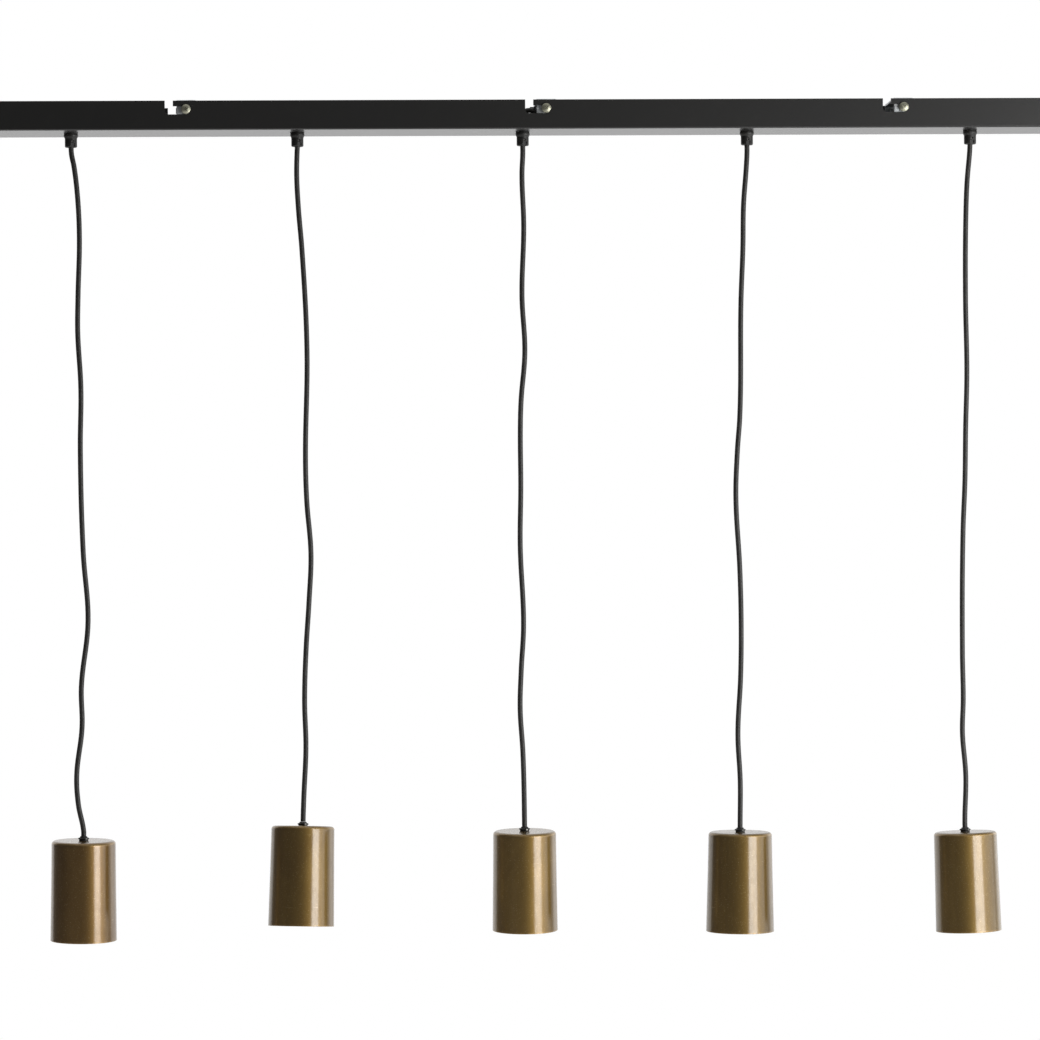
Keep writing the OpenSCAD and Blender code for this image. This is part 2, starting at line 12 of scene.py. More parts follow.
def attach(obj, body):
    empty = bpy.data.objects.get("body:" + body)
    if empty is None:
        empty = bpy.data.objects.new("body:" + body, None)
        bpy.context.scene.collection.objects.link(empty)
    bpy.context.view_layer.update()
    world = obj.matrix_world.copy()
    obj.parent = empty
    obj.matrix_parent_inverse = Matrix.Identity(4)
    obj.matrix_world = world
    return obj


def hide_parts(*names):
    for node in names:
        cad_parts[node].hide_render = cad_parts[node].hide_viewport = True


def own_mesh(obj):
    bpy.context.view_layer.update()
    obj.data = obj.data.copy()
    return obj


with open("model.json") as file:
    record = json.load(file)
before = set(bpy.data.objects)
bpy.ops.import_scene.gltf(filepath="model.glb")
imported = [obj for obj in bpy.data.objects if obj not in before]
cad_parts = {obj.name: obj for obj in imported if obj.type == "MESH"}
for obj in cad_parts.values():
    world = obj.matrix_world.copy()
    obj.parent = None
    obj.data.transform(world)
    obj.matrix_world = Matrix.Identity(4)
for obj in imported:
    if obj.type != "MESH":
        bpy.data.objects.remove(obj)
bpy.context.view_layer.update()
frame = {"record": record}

MM = 0.001
BODY_OF = {node: body for body, nodes in frame["record"]["behaviour"]["bodies"].items()
           for node in nodes}
# The pendants from left to right, three places about a middle one, and the two sides
PENDANTS, THREE, SIDES = (1, 2, 3, 4, 5), (-1, 0, 1), (-1, 1)

# Levels and places, as in the part's source
BAR_X, BAR_LENGTH, BAR_DEPTH = -23.5, 1200, 78
TOP_Z, UNDER_Z, SHEET, FOLD_R = -1, -32, 1.2, 1.8
FLOOR_Z = UNDER_Z + SHEET
BRACKET_PITCH, SLOT_R, SLOT_TRAVEL, SLOT_Z, BOLT_Z = 380, 4.25, 18, -11.25, -10.1
CORD_PITCH, CORD_R, BORE_R, WIRE_R, CORE_RING = 240, 2.75, 3, 0.9, 1.3
RIM_Z, PIVOT_Z = -46.5, -45.5
GRIP_SCREW_Z, NOTCH_TOP_Z, COLLAR_SCREW_Z = RIM_Z + 6.2, RIM_Z + 4.4, -2.6
STRAIGHT_END, SEAT_GAP, LIFT = 5, 0.2, 400
GRIP_TURN = (-66, -68, -72, -80, -80)
COLLAR_TURN = (-60, -64, -68, -64, -58)
SHADE_SPREAD = ((0.8, 0.2), (0, 0), (0, -0.4), (0.5, 2.5), (0, 0))
LAMP_TURNS = ((1, 0.5), (-5, 1.5), (2, 0), (0, 0.5), (-1, -1.5))
BLOCK_X, BLOCK_LENGTH, BLOCK_H, POLE_PITCH, POLE_Z = BAR_X + 75, 18, 14, 10, FLOOR_Z + 7
SCREW_X, FAN, LAYER_STEP = BLOCK_LENGTH / 4, 18, 1.9
STUD = (BAR_X + 95, 27, FLOOR_Z)
SHADE_TOP_Z, SHADE_H, SHADE_FOOT_Z = -4.5, 106, -110.5

# Free cords, from the rims of their grips: along, towards the rear, up
CORD_ROUTES = (
    ((0, 0, 1), (0.5, 0, -7), (3, 0, -20), (6.5, 1, -53), (8, 2, -95), (6, 2, -160),
     (5.5, 1, -195), (8.5, -1, -255), (7.5, -2, -320), (9.5, 1, -430), (14, 2, -503),
     (6.5, 0, -573), (7, -1, -615), (1, -2, -667), (2.5, -2, -697), (7.8, -1, -730.9)),
    ((0, 0, 1), (-0.5, 0, -8), (-1, 1, -31), (0.5, 2, -65), (4, 2, -110), (8.5, -1, -217),
     (6, -2, -335), (7, 1, -377), (11, 2, -433), (8.5, 3, -485), (5, 4, -535),
     (3, 6, -590), (4, 7, -640), (1.5, 7, -690), (0.4, 4.5, -718.5)),
    ((0, 0, 1), (0, 0, -8), (-1, 1, -30), (0.5, 2, -85), (-2, 1, -160), (0.5, -1, -220),
     (-4, -3, -272), (-5, -3, -300), (-5, -2, -365), (-6, 0, -425), (-3, 2, -512),
     (-6, 0, -560), (-7.5, -2, -600), (-5, -4, -647), (-3.8, -2, -725.9)),
    ((0, 0, 1), (0, 0, -8), (-1, 0, -25), (-4, 1, -63), (-5, 2, -110), (-7.5, 2, -167),
     (-10, -1, -290), (-13, -2, -327), (-15, -2, -375), (-11, 1, -455), (-10, 2, -515),
     (-11, 2, -568), (-14.5, 1, -630), (-12.5, 0, -680), (-13, 0, -729.5)),
    ((0, 0, 1), (-0.5, 0, -8), (-3.5, 0, -40), (-5.5, -1, -85), (-6.5, -2, -165),
     (-5.5, -1, -245), (-7, 1, -305), (-8, 2, -360), (-10.5, 2, -415), (-12.5, 0, -545),
     (-12, 0, -595), (-13, 1, -630), (-9.6, 2, -677), (-11, 1, -732)))
# Their inner stretches, from the grips' axes and the channel's floor
LONG_RUN = ((0, 0, 9), (2, 0, 17), (8, 2, 21), (16, 5, 21), (32, 10, 16), (50, 13, 8),
            (70, 14, 4), (95, 14, 3))
TAIL_ROUTES = (
    [(x, -y, z) for x, y, z in LONG_RUN], LONG_RUN,
    ((0, 0, 9), (-0.5, 0, 15), (1.5, 0, 20), (6, 0, 22.1), (11, 0, 21.4), (19, 0, 16),
     (27, 0, 10), (36, 0, 5)),
    ((0, 0, 9), (-2, 0, 17), (-8, -1, 21), (-16, -3, 21), (-32, -6, 16), (-50, -8, 8),
     (-70, -8, 4), (-95, -8, 3)), [(-x, y, z) for x, y, z in LONG_RUN])
TAIL_Y, TAIL_SIDE, TAIL_LAYER = (-14, 14, 0, -8, 14), (-1, -1, -1, 1, 1), (0, 2, 1, 0, 1)


def grip_x(n):
    return BAR_X + (n - 3) * CORD_PITCH


def cord_end(n):
    return Vector((grip_x(n), 0, RIM_Z)) + Vector(CORD_ROUTES[n - 1][-1])


def lamp_place(n):
    """Where lamp n hangs: the top of its collar, with the lamp's tilt."""
    b, a = (math.radians(angle) for angle in LAMP_TURNS[n - 1])
    point = (cord_end(n) - Vector((0, 0, SEAT_GAP))) * MM
    return Matrix.Translation(point) @ Euler((b, a, 0)).to_matrix().to_4x4()


# Camera and cords

def aim_camera():
    """As in the photograph: from the front, turned and rolled by a little."""
    yaw, roll, distance = math.radians(2.49), math.radians(-0.447), 4.2667
    forward = Vector((math.sin(yaw), math.cos(yaw), 0))
    level = Vector((math.cos(yaw), -math.sin(yaw), 0))
    right = level * math.cos(roll) + Vector((0, 0, 1)) * math.sin(roll)
    up = Vector((0, 0, 1)) * math.cos(roll) - level * math.sin(roll)
    camera = bpy.data.objects.new("camera", bpy.data.cameras.new("camera"))
    bpy.context.collection.objects.link(camera)
    camera.data.sensor_width, camera.data.lens = 36, 138.46
    aim = Vector((-0.0295, 0, -0.4455))
    turn = Matrix((right, up, -forward)).transposed().to_4x4()
    camera.matrix_world = Matrix.Translation(aim - forward * distance) @ turn
    bpy.context.scene.camera = camera


def only(*objects):
    """Leaves just these objects selected, the first of them active."""
    if bpy.context.mode != "OBJECT":
        bpy.ops.object.mode_set(mode="OBJECT")
    bpy.ops.object.select_all(action="DESELECT")
    for obj in objects:
        obj.select_set(True)
    bpy.context.view_layer.objects.active = objects[0]


def edit(obj):
    only(obj)
    bpy.ops.object.mode_set(mode="EDIT")


def weld():
    """In edit mode, merges doubles and turns all faces outwards."""
    bpy.ops.mesh.select_all(action="SELECT")
    bpy.ops.mesh.remove_doubles(threshold=1e-6)
    bpy.ops.mesh.normals_make_consistent(inside=False)


def lead(name, points, radius, sides, steps):
    """A round lead on one smooth curve through the points, as a mesh, and the line it follows."""
    points = [Vector(p) * MM for p in points]
    hold = 0.36
    steps_on = [(b - a).normalized() for a, b in zip(points, points[1:])]
    ways = [steps_on[0]] + [(a + b).normalized() for a, b in zip(steps_on, steps_on[1:])]
    ways.append(steps_on[-1])
    curve = bpy.data.curves.new(name, "CURVE")
    curve.dimensions, curve.resolution_u = "3D", steps
    curve.bevel_depth, curve.bevel_resolution = radius * MM, sides // 2 - 2
    curve.use_fill_caps = True
    spline = curve.splines.new("BEZIER")
    spline.bezier_points.add(len(points) - 1)
    for i, knot in enumerate(spline.bezier_points):
        knot.handle_left_type = knot.handle_right_type = "FREE"
        before = (points[i] - points[max(i - 1, 0)]).length
        after = (points[min(i + 1, len(points) - 1)] - points[i]).length
        knot.co = points[i]
        knot.handle_left = points[i] - ways[i] * before * hold
        knot.handle_right = points[i] + ways[i] * after * hold
    line = [points[0]]
    for a, b in zip(spline.bezier_points, spline.bezier_points[1:]):
        line += interpolate_bezier(a.co, a.handle_right, b.handle_left, b.co, steps + 1)[1:]
    obj = bpy.data.objects.new(name, curve)
    bpy.context.collection.objects.link(obj)
    only(obj)
    bpy.ops.object.convert(target="MESH")
    obj = bpy.context.object
    obj.name = obj.data.name = name
    edit(obj)
    weld()
    bpy.ops.object.mode_set(mode="OBJECT")
    bpy.ops.object.shade_smooth_by_angle(angle=math.radians(50))
    return obj, line


def hang_cord(n):
    """Free cord n: out of its grip, down in the waves it kept from its coil, into its collar."""
    start = Vector((grip_x(n), 0, RIM_Z))
    points = [start + Vector(p) for p in CORD_ROUTES[n - 1]]
    up = lamp_place(n).to_3x3() @ Vector((0, 0, 1))
    points.insert(-1, points[-1] + up * STRAIGHT_END)
    cord, line = lead(f"hanging_cord_{n}", points, CORD_R, 20, 10)
    length = sum((b - a).length for a, b in zip(line, line[1:]))
    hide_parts(f"cord_{n}")
    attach(cord, f"cord_{n}")
    grip_x(n) * MM
    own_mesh(cord)
    return cord


aim_camera()
cords = [hang_cord(n) for n in PENDANTS]


# Materials

class Wire:
    """One output in a material. Sums, products and powers of wires add its Math nodes."""

    def __init__(self, finish, socket):
        self.finish, self.socket = finish, socket

    def work(self, operation, *values):
        return self.finish.add("ShaderNodeMath", {"operation": operation}, values)

    def __add__(self, other):
        return self.work("ADD", self, other)

    def __sub__(self, other):
        return self.work("SUBTRACT", self, other)

    def __rsub__(self, other):
        return self.work("SUBTRACT", other, self)

    def __mul__(self, other):
        return self.work("MULTIPLY", self, other)

    def __pow__(self, other):
        return self.work("POWER", self, other)

    def __abs__(self):
        return self.work("ABSOLUTE", self)

    __radd__, __rmul__ = __add__, __mul__


class Finish:
    """A surface finish: the shader's own fixed values, and the nodes that vary the rest."""

    def __init__(self, name, fixed):
        self.material = bpy.data.materials.new(name)
        self.material.use_nodes = True
        self.nodes = self.material.node_tree.nodes
        self.shader = self.nodes["Principled BSDF"]
        for socket, value in fixed.items():
            self.shader.inputs[socket].default_value = value

    def add(self, kind, settings=None, values=(), output=0):
        """Adds one node: its settings first, then the values or wires of its sockets."""
        node = self.nodes.new(kind)
        for name, value in (settings or {}).items():
            setattr(node, name, value)
        pairs = values.items() if isinstance(values, dict) else enumerate(values)
        for socket, value in pairs:
            self.plug(node.inputs[socket], value)
        return Wire(self, node.outputs[output])

    def plug(self, socket, value):
        if isinstance(value, Wire):
            self.material.node_tree.links.new(value.socket, socket)
        else:
            socket.default_value = value

    def feed(self, colour, roughness, normal):
        """Links what varies over the surface to the shader."""
        for name, wire in (("Base Color", colour), ("Roughness", roughness), ("Normal", normal)):
            self.plug(self.shader.inputs[name], wire)
        return self

    def place(self, location=(0, 0, 0), rotation=(0, 0, 0)):
        """Object coordinates, seen from a centre and turn."""
        own = self.add("ShaderNodeTexCoord", output="Object")
        return self.add("ShaderNodeMapping", {"vector_type": "TEXTURE"},
                        [own, location, rotation])

    def noise(self, where, scale, detail, roughness=0.55, distortion=0):
        return self.add("ShaderNodeTexNoise", {}, {
            "Vector": where, "Scale": scale, "Detail": detail, "Roughness": roughness,
            "Distortion": distortion})

    def cells(self, where, scale, output="Distance"):
        return self.add("ShaderNodeTexVoronoi", {}, {"Vector": where, "Scale": scale}, output)

    def stretch(self, where, x, y, z):
        return self.add("ShaderNodeVectorMath", {"operation": "MULTIPLY"}, [where, (x, y, z)])

    def axes(self, where):
        node = self.add("ShaderNodeSeparateXYZ", {}, [where]).socket.node
        return [Wire(self, node.outputs[i]) for i in range(3)]

    def step(self, value, low, high, start=0.0, end=1.0):
        """Runs smoothly from start to end as the value goes from low to high."""
        return self.add("ShaderNodeMapRange", {"interpolation_type": "SMOOTHSTEP"},
                        [value, low, high, start, end])

    def tint(self, share, first, second):
        return self.add("ShaderNodeMix", {"data_type": "RGBA"},
                        {0: share, 6: (*first, 1) if isinstance(first, tuple) else first,
                         7: (*second, 1) if isinstance(second, tuple) else second}, 2)

    def relief(self, height, strength, distance, under=None):
        values = {"Strength": strength, "Distance": distance, "Height": height}
        if under:
            values["Normal"] = under
        return self.add("ShaderNodeBump", {}, values)


def black_lacquer():
    """Black powder coat on the channel: smooth gloss over a duller ground, a trace of dust."""
    f = Finish("black lacquer", {"Specular IOR Level": 0.42, "Coat Weight": 0.76,
                                 "Coat Roughness": 0.24, "Coat IOR": 1.5})
    at = f.place()
    peel = f.noise(at, 900, 2, 0.5)
    dust = f.noise(at, 60, 5, 0.65, 0.4)
    cloud = f.noise(f.stretch(at, 1, 2, 2), 9, 3)
    colour = f.tint(f.step(dust, 0.5, 0.85), (0.0022, 0.0018, 0.0012), (0.0038, 0.0033, 0.0025))
    return f.feed(colour, 0.5 + 0.04 * dust + 0.03 * cloud, f.relief(peel, 0.06, 0.0002))


def black_fitting():
    """Satin black of the grips and the collars."""
    f = Finish("black fitting", {"Specular IOR Level": 0.45})
    at = f.place()
    grain = f.noise(at, 1600, 2, 0.6)
    worn = f.noise(at, 130, 4, 0.65, 0.6)
    colour = f.tint(f.step(worn, 0.5, 0.78), (0.0075, 0.007, 0.0062), (0.02, 0.0185, 0.016))
    return f.feed(colour, 0.45 + 0.12 * worn, f.relief(grain, 0.12, 0.00015))


def cord_sheath():
    """Smooth black sheath with the faint lay of its cores and a little handling dust."""
    f = Finish("cord sheath", {"Specular IOR Level": 0.4})
    at = f.place()
    drawn = f.noise(f.stretch(at, 900, 900, 40), 1, 3, 0.6)
    dust = f.noise(at, 60, 4, 0.6)
    colour = f.tint(f.step(dust, 0.42, 0.75), (0.0135, 0.0127, 0.0112), (0.0235, 0.022, 0.02))
    return f.feed(colour, 0.42 + 0.12 * dust, f.relief(drawn, 0.1, 0.0002))


def wire_cover(name, first, second=None):
    """Insulation of one conductor; a second colour runs along it as a stripe."""
    f = Finish(name, {"Specular IOR Level": 0.4})
    at = f.place()
    drawn = f.noise(f.stretch(at, 60, 700, 700), 1, 3, 0.6)
    shade = f.noise(at, 160, 3)
    base = f.tint(shade, first, tuple(0.72 * c for c in first))
    if second:
        stripe = f.add("ShaderNodeAttribute", {"attribute_name": "stripe"}, output="Fac")
        base = f.tint(f.step(stripe, 0.4, 0.6), base, second)
    return f.feed(base, 0.38 + 0.1 * shade, f.relief(drawn, 0.08, 0.0001))


def galvanised():
    """Hot-dipped strip: flat crystals of zinc, each a little lighter or duller."""
    f = Finish("galvanised strip", {"Metallic": 1.0})
    at = f.place()
    drift = f.add("ShaderNodeTexNoise", {}, {"Vector": at, "Scale": 200.0}, "Color")
    warped = f.add("ShaderNodeMix", {"data_type": "VECTOR"}, {0: 0.002, 4: at, 5: drift}, 1)
    grain = f.cells(warped, 210, output="Color")
    level = f.axes(grain)[0]
    stain = f.noise(at, 70, 4, 0.6)
    colour = f.tint(level, (0.44, 0.46, 0.47), (0.68, 0.7, 0.71))
    colour = f.tint(f.step(stain, 0.5, 0.75), colour, (0.36, 0.36, 0.35))
    return f.feed(colour, 0.3 + 0.2 * level + 0.1 * stain, f.relief(level, 0.1, 0.0002))


def plated(name, light, dark, roughness):
    """Plated or turned metal with fine tool marks and duller stains."""
    f = Finish(name, {"Metallic": 1.0})
    at = f.place()
    marks = f.noise(f.stretch(at, 1, 1, 6), 900, 3, 0.6)
    stain = f.noise(at, 180, 4, 0.6, 0.5)
    colour = f.tint(f.step(stain, 0.35, 0.75), light, dark)
    return f.feed(colour, roughness + 0.14 * stain, f.relief(marks, 0.1, 0.0001))


def moulded(name, light, dark, roughness):
    """Moulded plastic with a fine spark-eroded grain and faint flow clouds."""
    f = Finish(name, {"Specular IOR Level": 0.5})
    at = f.place()
    grain = f.cells(at, 2200)
    flow = f.noise(at, 45, 4, 0.55, 1.2)
    colour = f.tint(f.step(flow, 0.35, 0.7), light, dark)
    return f.feed(colour, roughness + 0.12 * flow, f.relief(grain, 0.12, 0.0001))


# Light and dark tones of each shade's patina, from left to right. How they differ between the
# shades is partly the shades' own tone and partly painted light and shade, making up for how the
# lamps fall on each.
PATINA_AND_PAINTED_LIGHT = (((0.18, 0.103, 0.028), (0.15, 0.082, 0.021)),
          ((0.208, 0.13, 0.033), (0.174, 0.105, 0.027)),
          ((0.212, 0.131, 0.033), (0.176, 0.107, 0.027)),
          ((0.178, 0.111, 0.029), (0.15, 0.092, 0.023)),
          ((0.185, 0.117, 0.031), (0.156, 0.096, 0.025)))
# How much each shade's surface adds to their common roughness
DULLER = (0.01, 0.11, 0.05, 0.13, 0.1)


def antique_brass(n):
    """Patinated brass of shade n under lacquer: spinning lines, cloudy tone, flecks, worn edges,
    and a painted highlight along the top edge.
    """
    light, dark = PATINA_AND_PAINTED_LIGHT[n - 1]
    f = Finish(f"antique brass {n}", {"Metallic": 1.0, "Coat Roughness": 0.17, "Coat IOR": 1.62})
    place = lamp_place(n)
    at = f.place(place.to_translation(), place.to_euler())
    x, y, z = f.axes(at)
    across = (x * x + y * y) ** 0.5
    own = f.add("ShaderNodeVectorMath", {"operation": "ADD"}, [at, (0.31 * n, 0.17 * n, 0.23 * n)])
    lines = f.noise(f.stretch(own, 9, 9, 1300), 1, 3, 0.65)
    cloud = f.noise(f.stretch(own, 1, 1, 0.45), 34, 4, 0.55, 0.8)
    flecks = f.noise(own, 420, 4, 0.7, 0.5)
    specks = f.step(f.noise(own, 900, 2, 0.5), 0.62, 0.7)
    scratch = f.step(f.noise(f.stretch(own, 60, 60, 900), 1, 1, 0.4), 0.76, 0.8)
    # A golden band just under the rounded top edge: partly rubbed wear, partly a painted highlight
    # of the light from above.
    top_edge_wear_and_highlight = f.step(abs(z + 0.0065), 0.0, 0.0018, 1, 0) * f.step(across, 0.030, 0.032)
    mouth = f.step(z, -0.1105, -0.1085, 1, 0)
    worn = f.add("ShaderNodeMath", {"operation": "MAXIMUM"},
                 [top_edge_wear_and_highlight * 0.45, mouth * 0.55 * f.step(flecks, 0.35, 0.6)])
    tone = f.step(cloud + 0.25 * (flecks - 0.5), 0.32, 0.7)
    colour = f.tint(tone, light, dark)
    colour = f.tint(f.step(flecks, 0.62, 0.8) * 0.3, colour, tuple(0.55 * c for c in dark))
    # The worn colour: rubbed brass at the mouth, and on the top edge also a painted highlight.
    colour = f.tint(worn, colour, (0.55, 0.36, 0.13))
    colour = f.tint(scratch * 0.3 + specks * 0.3, colour, (0.5, 0.38, 0.18))
    rough = 0.395 + DULLER[n - 1] + 0.06 * flecks + 0.04 * tone - 0.08 * worn
    bump = f.relief(lines, 0.1, 0.0001)
    dents = f.noise(own, 210, 3, 0.5) * f.step(z, -0.0045, -0.0095)
    bump = f.relief(dents, 0.2, 0.0004, bump)
    f.plug(f.shader.inputs["Coat Weight"], 0.72 + 0.28 * f.step(flecks, 0.66, 0.42))
    return f.feed(colour, rough, bump)


# Modelling by hand

def begun(name):
    """Names the primitive just added and leaves its place in its mesh."""
    obj = bpy.context.object
    obj.name = obj.data.name = name
    only(obj)
    bpy.ops.object.transform_apply(location=True, rotation=True, scale=True)
    return obj


def block(name, low, high):
    """A box between two corners."""
    middle, size = (Vector(low) + Vector(high)) / 2 * MM, (Vector(high) - Vector(low)) * MM
    bpy.ops.object.select_all(action="DESELECT")
    bpy.ops.mesh.primitive_cube_add(size=1, location=middle, scale=size)
    return begun(name)


def rod(name, radius, start, end, steps=32):
    """A round bar from one point to another."""
    start, end = Vector(start) * MM, Vector(end) * MM
    bpy.ops.object.select_all(action="DESELECT")
    bpy.ops.mesh.primitive_cylinder_add(
        vertices=steps, radius=radius * MM, depth=(end - start).length,
        location=(start + end) / 2, rotation=(end - start).to_track_quat("Z", "Y").to_euler())
    return begun(name)


def pick(kind, test):
    """In edit mode, selects the vertices, edges or faces that pass the test on their middle."""
    bpy.ops.mesh.select_mode(type=kind)
    bpy.ops.mesh.select_all(action="DESELECT")
    mesh = bmesh.from_edit_mesh(bpy.context.object.data)
    for part in {"VERT": mesh.verts, "EDGE": mesh.edges, "FACE": mesh.faces}[kind]:
        corners = [part.co] if kind == "VERT" else [v.co for v in part.verts]
        if test(sum(corners, Vector()) / len(corners) / MM, part):
            part.select_set(True)
    mesh.select_flush_mode()
    bmesh.update_edit_mesh(bpy.context.object.data)


def draw_out(step):
    bpy.ops.mesh.extrude_region_move(TRANSFORM_OT_translate={"value": Vector(step) * MM})


def finish_mesh(obj):
    """Merges doubles, turns all faces outwards and smooths all but the real edges."""
    edit(obj)
    weld()
    if bmesh.from_edit_mesh(obj.data).calc_volume(signed=True) < 0:
        bpy.ops.mesh.flip_normals()
    only(obj)
    bpy.ops.object.shade_smooth_by_angle(angle=math.radians(32))
    return obj


def modify(obj, kind, **settings):
    """Adds a modifier with these settings and applies it."""
    only(obj)
    modifier = obj.modifiers.new(kind.lower(), kind)
    for name, value in settings.items():
        setattr(modifier, name, value)
    bpy.ops.object.modifier_apply(modifier=modifier.name)
    return obj


def cut(obj, *tools, operation="DIFFERENCE"):
    for tool in tools:
        modify(obj, "BOOLEAN", operation=operation, object=tool, solver="EXACT")
        bpy.data.objects.remove(tool)
    return obj


def ease(obj, width, segments=2):
    """Breaks a piece's sharp edges with a small round."""
    modify(obj, "BEVEL", width=width * MM, segments=segments, limit_method="ANGLE",
           angle_limit=math.radians(38), use_clamp_overlap=True)
    return finish_mesh(obj)


def rounded(points, closed):
    """A profile whose corners with a third number are rounded to that radius."""
    made = []
    for i, point in enumerate(points):
        here = Vector(point[:2])
        if len(point) < 3 or not closed and i in (0, len(points) - 1):
            made.append(tuple(here))
            continue
        before = Vector(points[i - 1][:2]) - here
        after = Vector(points[(i + 1) % len(points)][:2]) - here
        turn = math.pi - before.angle(after)
        reach = min(point[2] * math.tan(turn / 2), 0.49 * before.length, 0.49 * after.length)
        radius = reach / math.tan(turn / 2)
        middle = here + (before.normalized() + after.normalized()).normalized() * (
            radius / math.cos(turn / 2))
        start = here + before.normalized() * reach - middle
        turn *= 1 if before.cross(after) < 0 else -1
        steps = max(2, round(abs(turn) / math.radians(15)))
        for k in range(steps + 1):
            made.append(tuple(middle + Matrix.Rotation(turn * k / steps, 2) @ start))
    return made


def turned(name, profile, steps, closed=False):
    """A piece turned on Z: a ring drawn out and widened through the profile's points."""
    points = rounded(profile, closed)
    if closed:
        points.append(points[0])
    pole = points[0][0] == 0
    if pole:
        points = points[1:]
    (radius, level), rest = points[0], points[1:]
    bpy.ops.object.select_all(action="DESELECT")
    bpy.ops.mesh.primitive_circle_add(vertices=steps, radius=radius * MM,
                                      location=(0, 0, level * MM),
                                      fill_type="TRIFAN" if pole else "NOTHING")
    obj = begun(name)
    edit(obj)
    if pole:
        pick("EDGE", lambda m, e: len(e.link_faces) == 1)
    else:
        bpy.ops.mesh.select_all(action="SELECT")
    for r, z in rest:
        draw_out((0, 0, z - level))
        share = r / radius
        bpy.ops.transform.resize(value=(share, share, 1), center_override=(0, 0, z * MM))
        radius, level = max(r, 1e-5), z
    return finish_mesh(obj)


def traced(name, points):
    """A line drawn out from one corner of a small plane through the points, in edit mode."""
    points = [Vector(p) for p in points]
    bpy.ops.object.select_all(action="DESELECT")
    bpy.ops.mesh.primitive_plane_add(
        size=2 * MM, location=(points[0] + Vector((1, 1, 0))) * MM)
    obj = begun(name)
    edit(obj)
    pick("VERT", lambda m, v: (m - points[0]).length > 1)
    bpy.ops.mesh.delete(type="VERT")
    bpy.ops.mesh.select_all(action="SELECT")
    for here, there in zip(points, points[1:]):
        draw_out(there - here)
    bpy.ops.mesh.select_all(action="SELECT")
    return obj


def prism(name, outline, step):
    """A closed outline filled and drawn out into a solid."""
    obj = traced(name, outline)
    bpy.ops.mesh.edge_face_add()
    draw_out(step)
    return finish_mesh(obj)


def folded(name, width, path, thickness):
    """A strip of sheet, its width along X, folded along a path in the YZ plane."""
    obj = traced(name, [(-width / 2, y, z) for y, z in path])
    draw_out((width, 0, 0))
    modify(obj, "SOLIDIFY", thickness=thickness * MM, offset=0, use_even_offset=True)
    return finish_mesh(obj)


def arc(x, z, radius, start, end, steps=10):
    """Points of an arc, by its angles in degrees."""
    turns = [math.radians(start + (end - start) * k / steps) for k in range(steps + 1)]
    return [(x + radius * math.cos(a), z + radius * math.sin(a)) for a in turns]


def wound(name, tooth, pitch, low, high, steps):
    """A tooth's outline of one pitch, wound up the Z axis past both levels."""
    start = low - 1.5 * pitch
    obj = traced(name, [(r, 0, start + z) for r, z in tooth])
    turns = math.ceil((high - low) / pitch) + 3
    return modify(obj, "SCREW", axis="Z", screw_offset=pitch * MM, iterations=turns,
                  steps=steps, render_steps=steps, use_merge_vertices=True,
                  merge_threshold=1e-6)


def threaded(name, crest, pitch, low, high, blank, steps=24):
    """A thread cut on a blank: a wound rod with its ends filled, then kept inside the blank."""
    root = crest - 0.6 * pitch
    tooth = ((root, 0), (crest, 0.38 * pitch), (crest, 0.5 * pitch), (root, 0.88 * pitch),
             (root, pitch))
    obj = wound(name, tooth, pitch, low, high, steps)
    edit(obj)
    bpy.ops.mesh.select_all(action="SELECT")
    bpy.ops.mesh.remove_doubles(threshold=1e-6)
    bpy.ops.mesh.fill_holes(sides=0)
    bpy.ops.mesh.normals_make_consistent(inside=False)
    return cut(obj, blank, operation="INTERSECT")


def copied(obj, name, matrix=Matrix.Identity(4)):
    """A copy with its own mesh, moved to its place."""
    only(obj)
    bpy.ops.object.duplicate(linked=False)
    made = bpy.context.object
    made.matrix_world = matrix
    made.name = name
    begun(name)
    return made


def joined(name, *pieces):
    only(*pieces)
    bpy.ops.object.join()
    obj = bpy.context.object
    obj.name = obj.data.name = name
    return obj


def fit(obj, finish, slot, *stood_for):
    """Gives a piece its finish; it rides with, and stands for, the solids it replaces."""
    modify(obj, "WEIGHTED_NORMAL", keep_sharp=True)
    obj.data.materials.clear()
    obj.data.materials.append(finish.material)
    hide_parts(*stood_for)
    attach(obj, BODY_OF[stood_for[0]])
    return obj


def spare(*objects):
    for obj in objects:
        bpy.data.objects.remove(obj)


def spin(degrees, axis="Z"):
    return Matrix.Rotation(math.radians(degrees), 4, axis)


def moved(obj, name, place):
    """Copied to its place, and the first one removed."""
    made = copied(obj, name, place)
    spare(obj)
    return made


def repeated(name, blank, places):
    """Copies of a blank at these places, as one piece; the blank itself goes."""
    pieces = [copied(blank, f"{name}_{i}", place) for i, place in enumerate(places)]
    spare(blank)
    return joined(name, *pieces)


# Canopy and its brackets

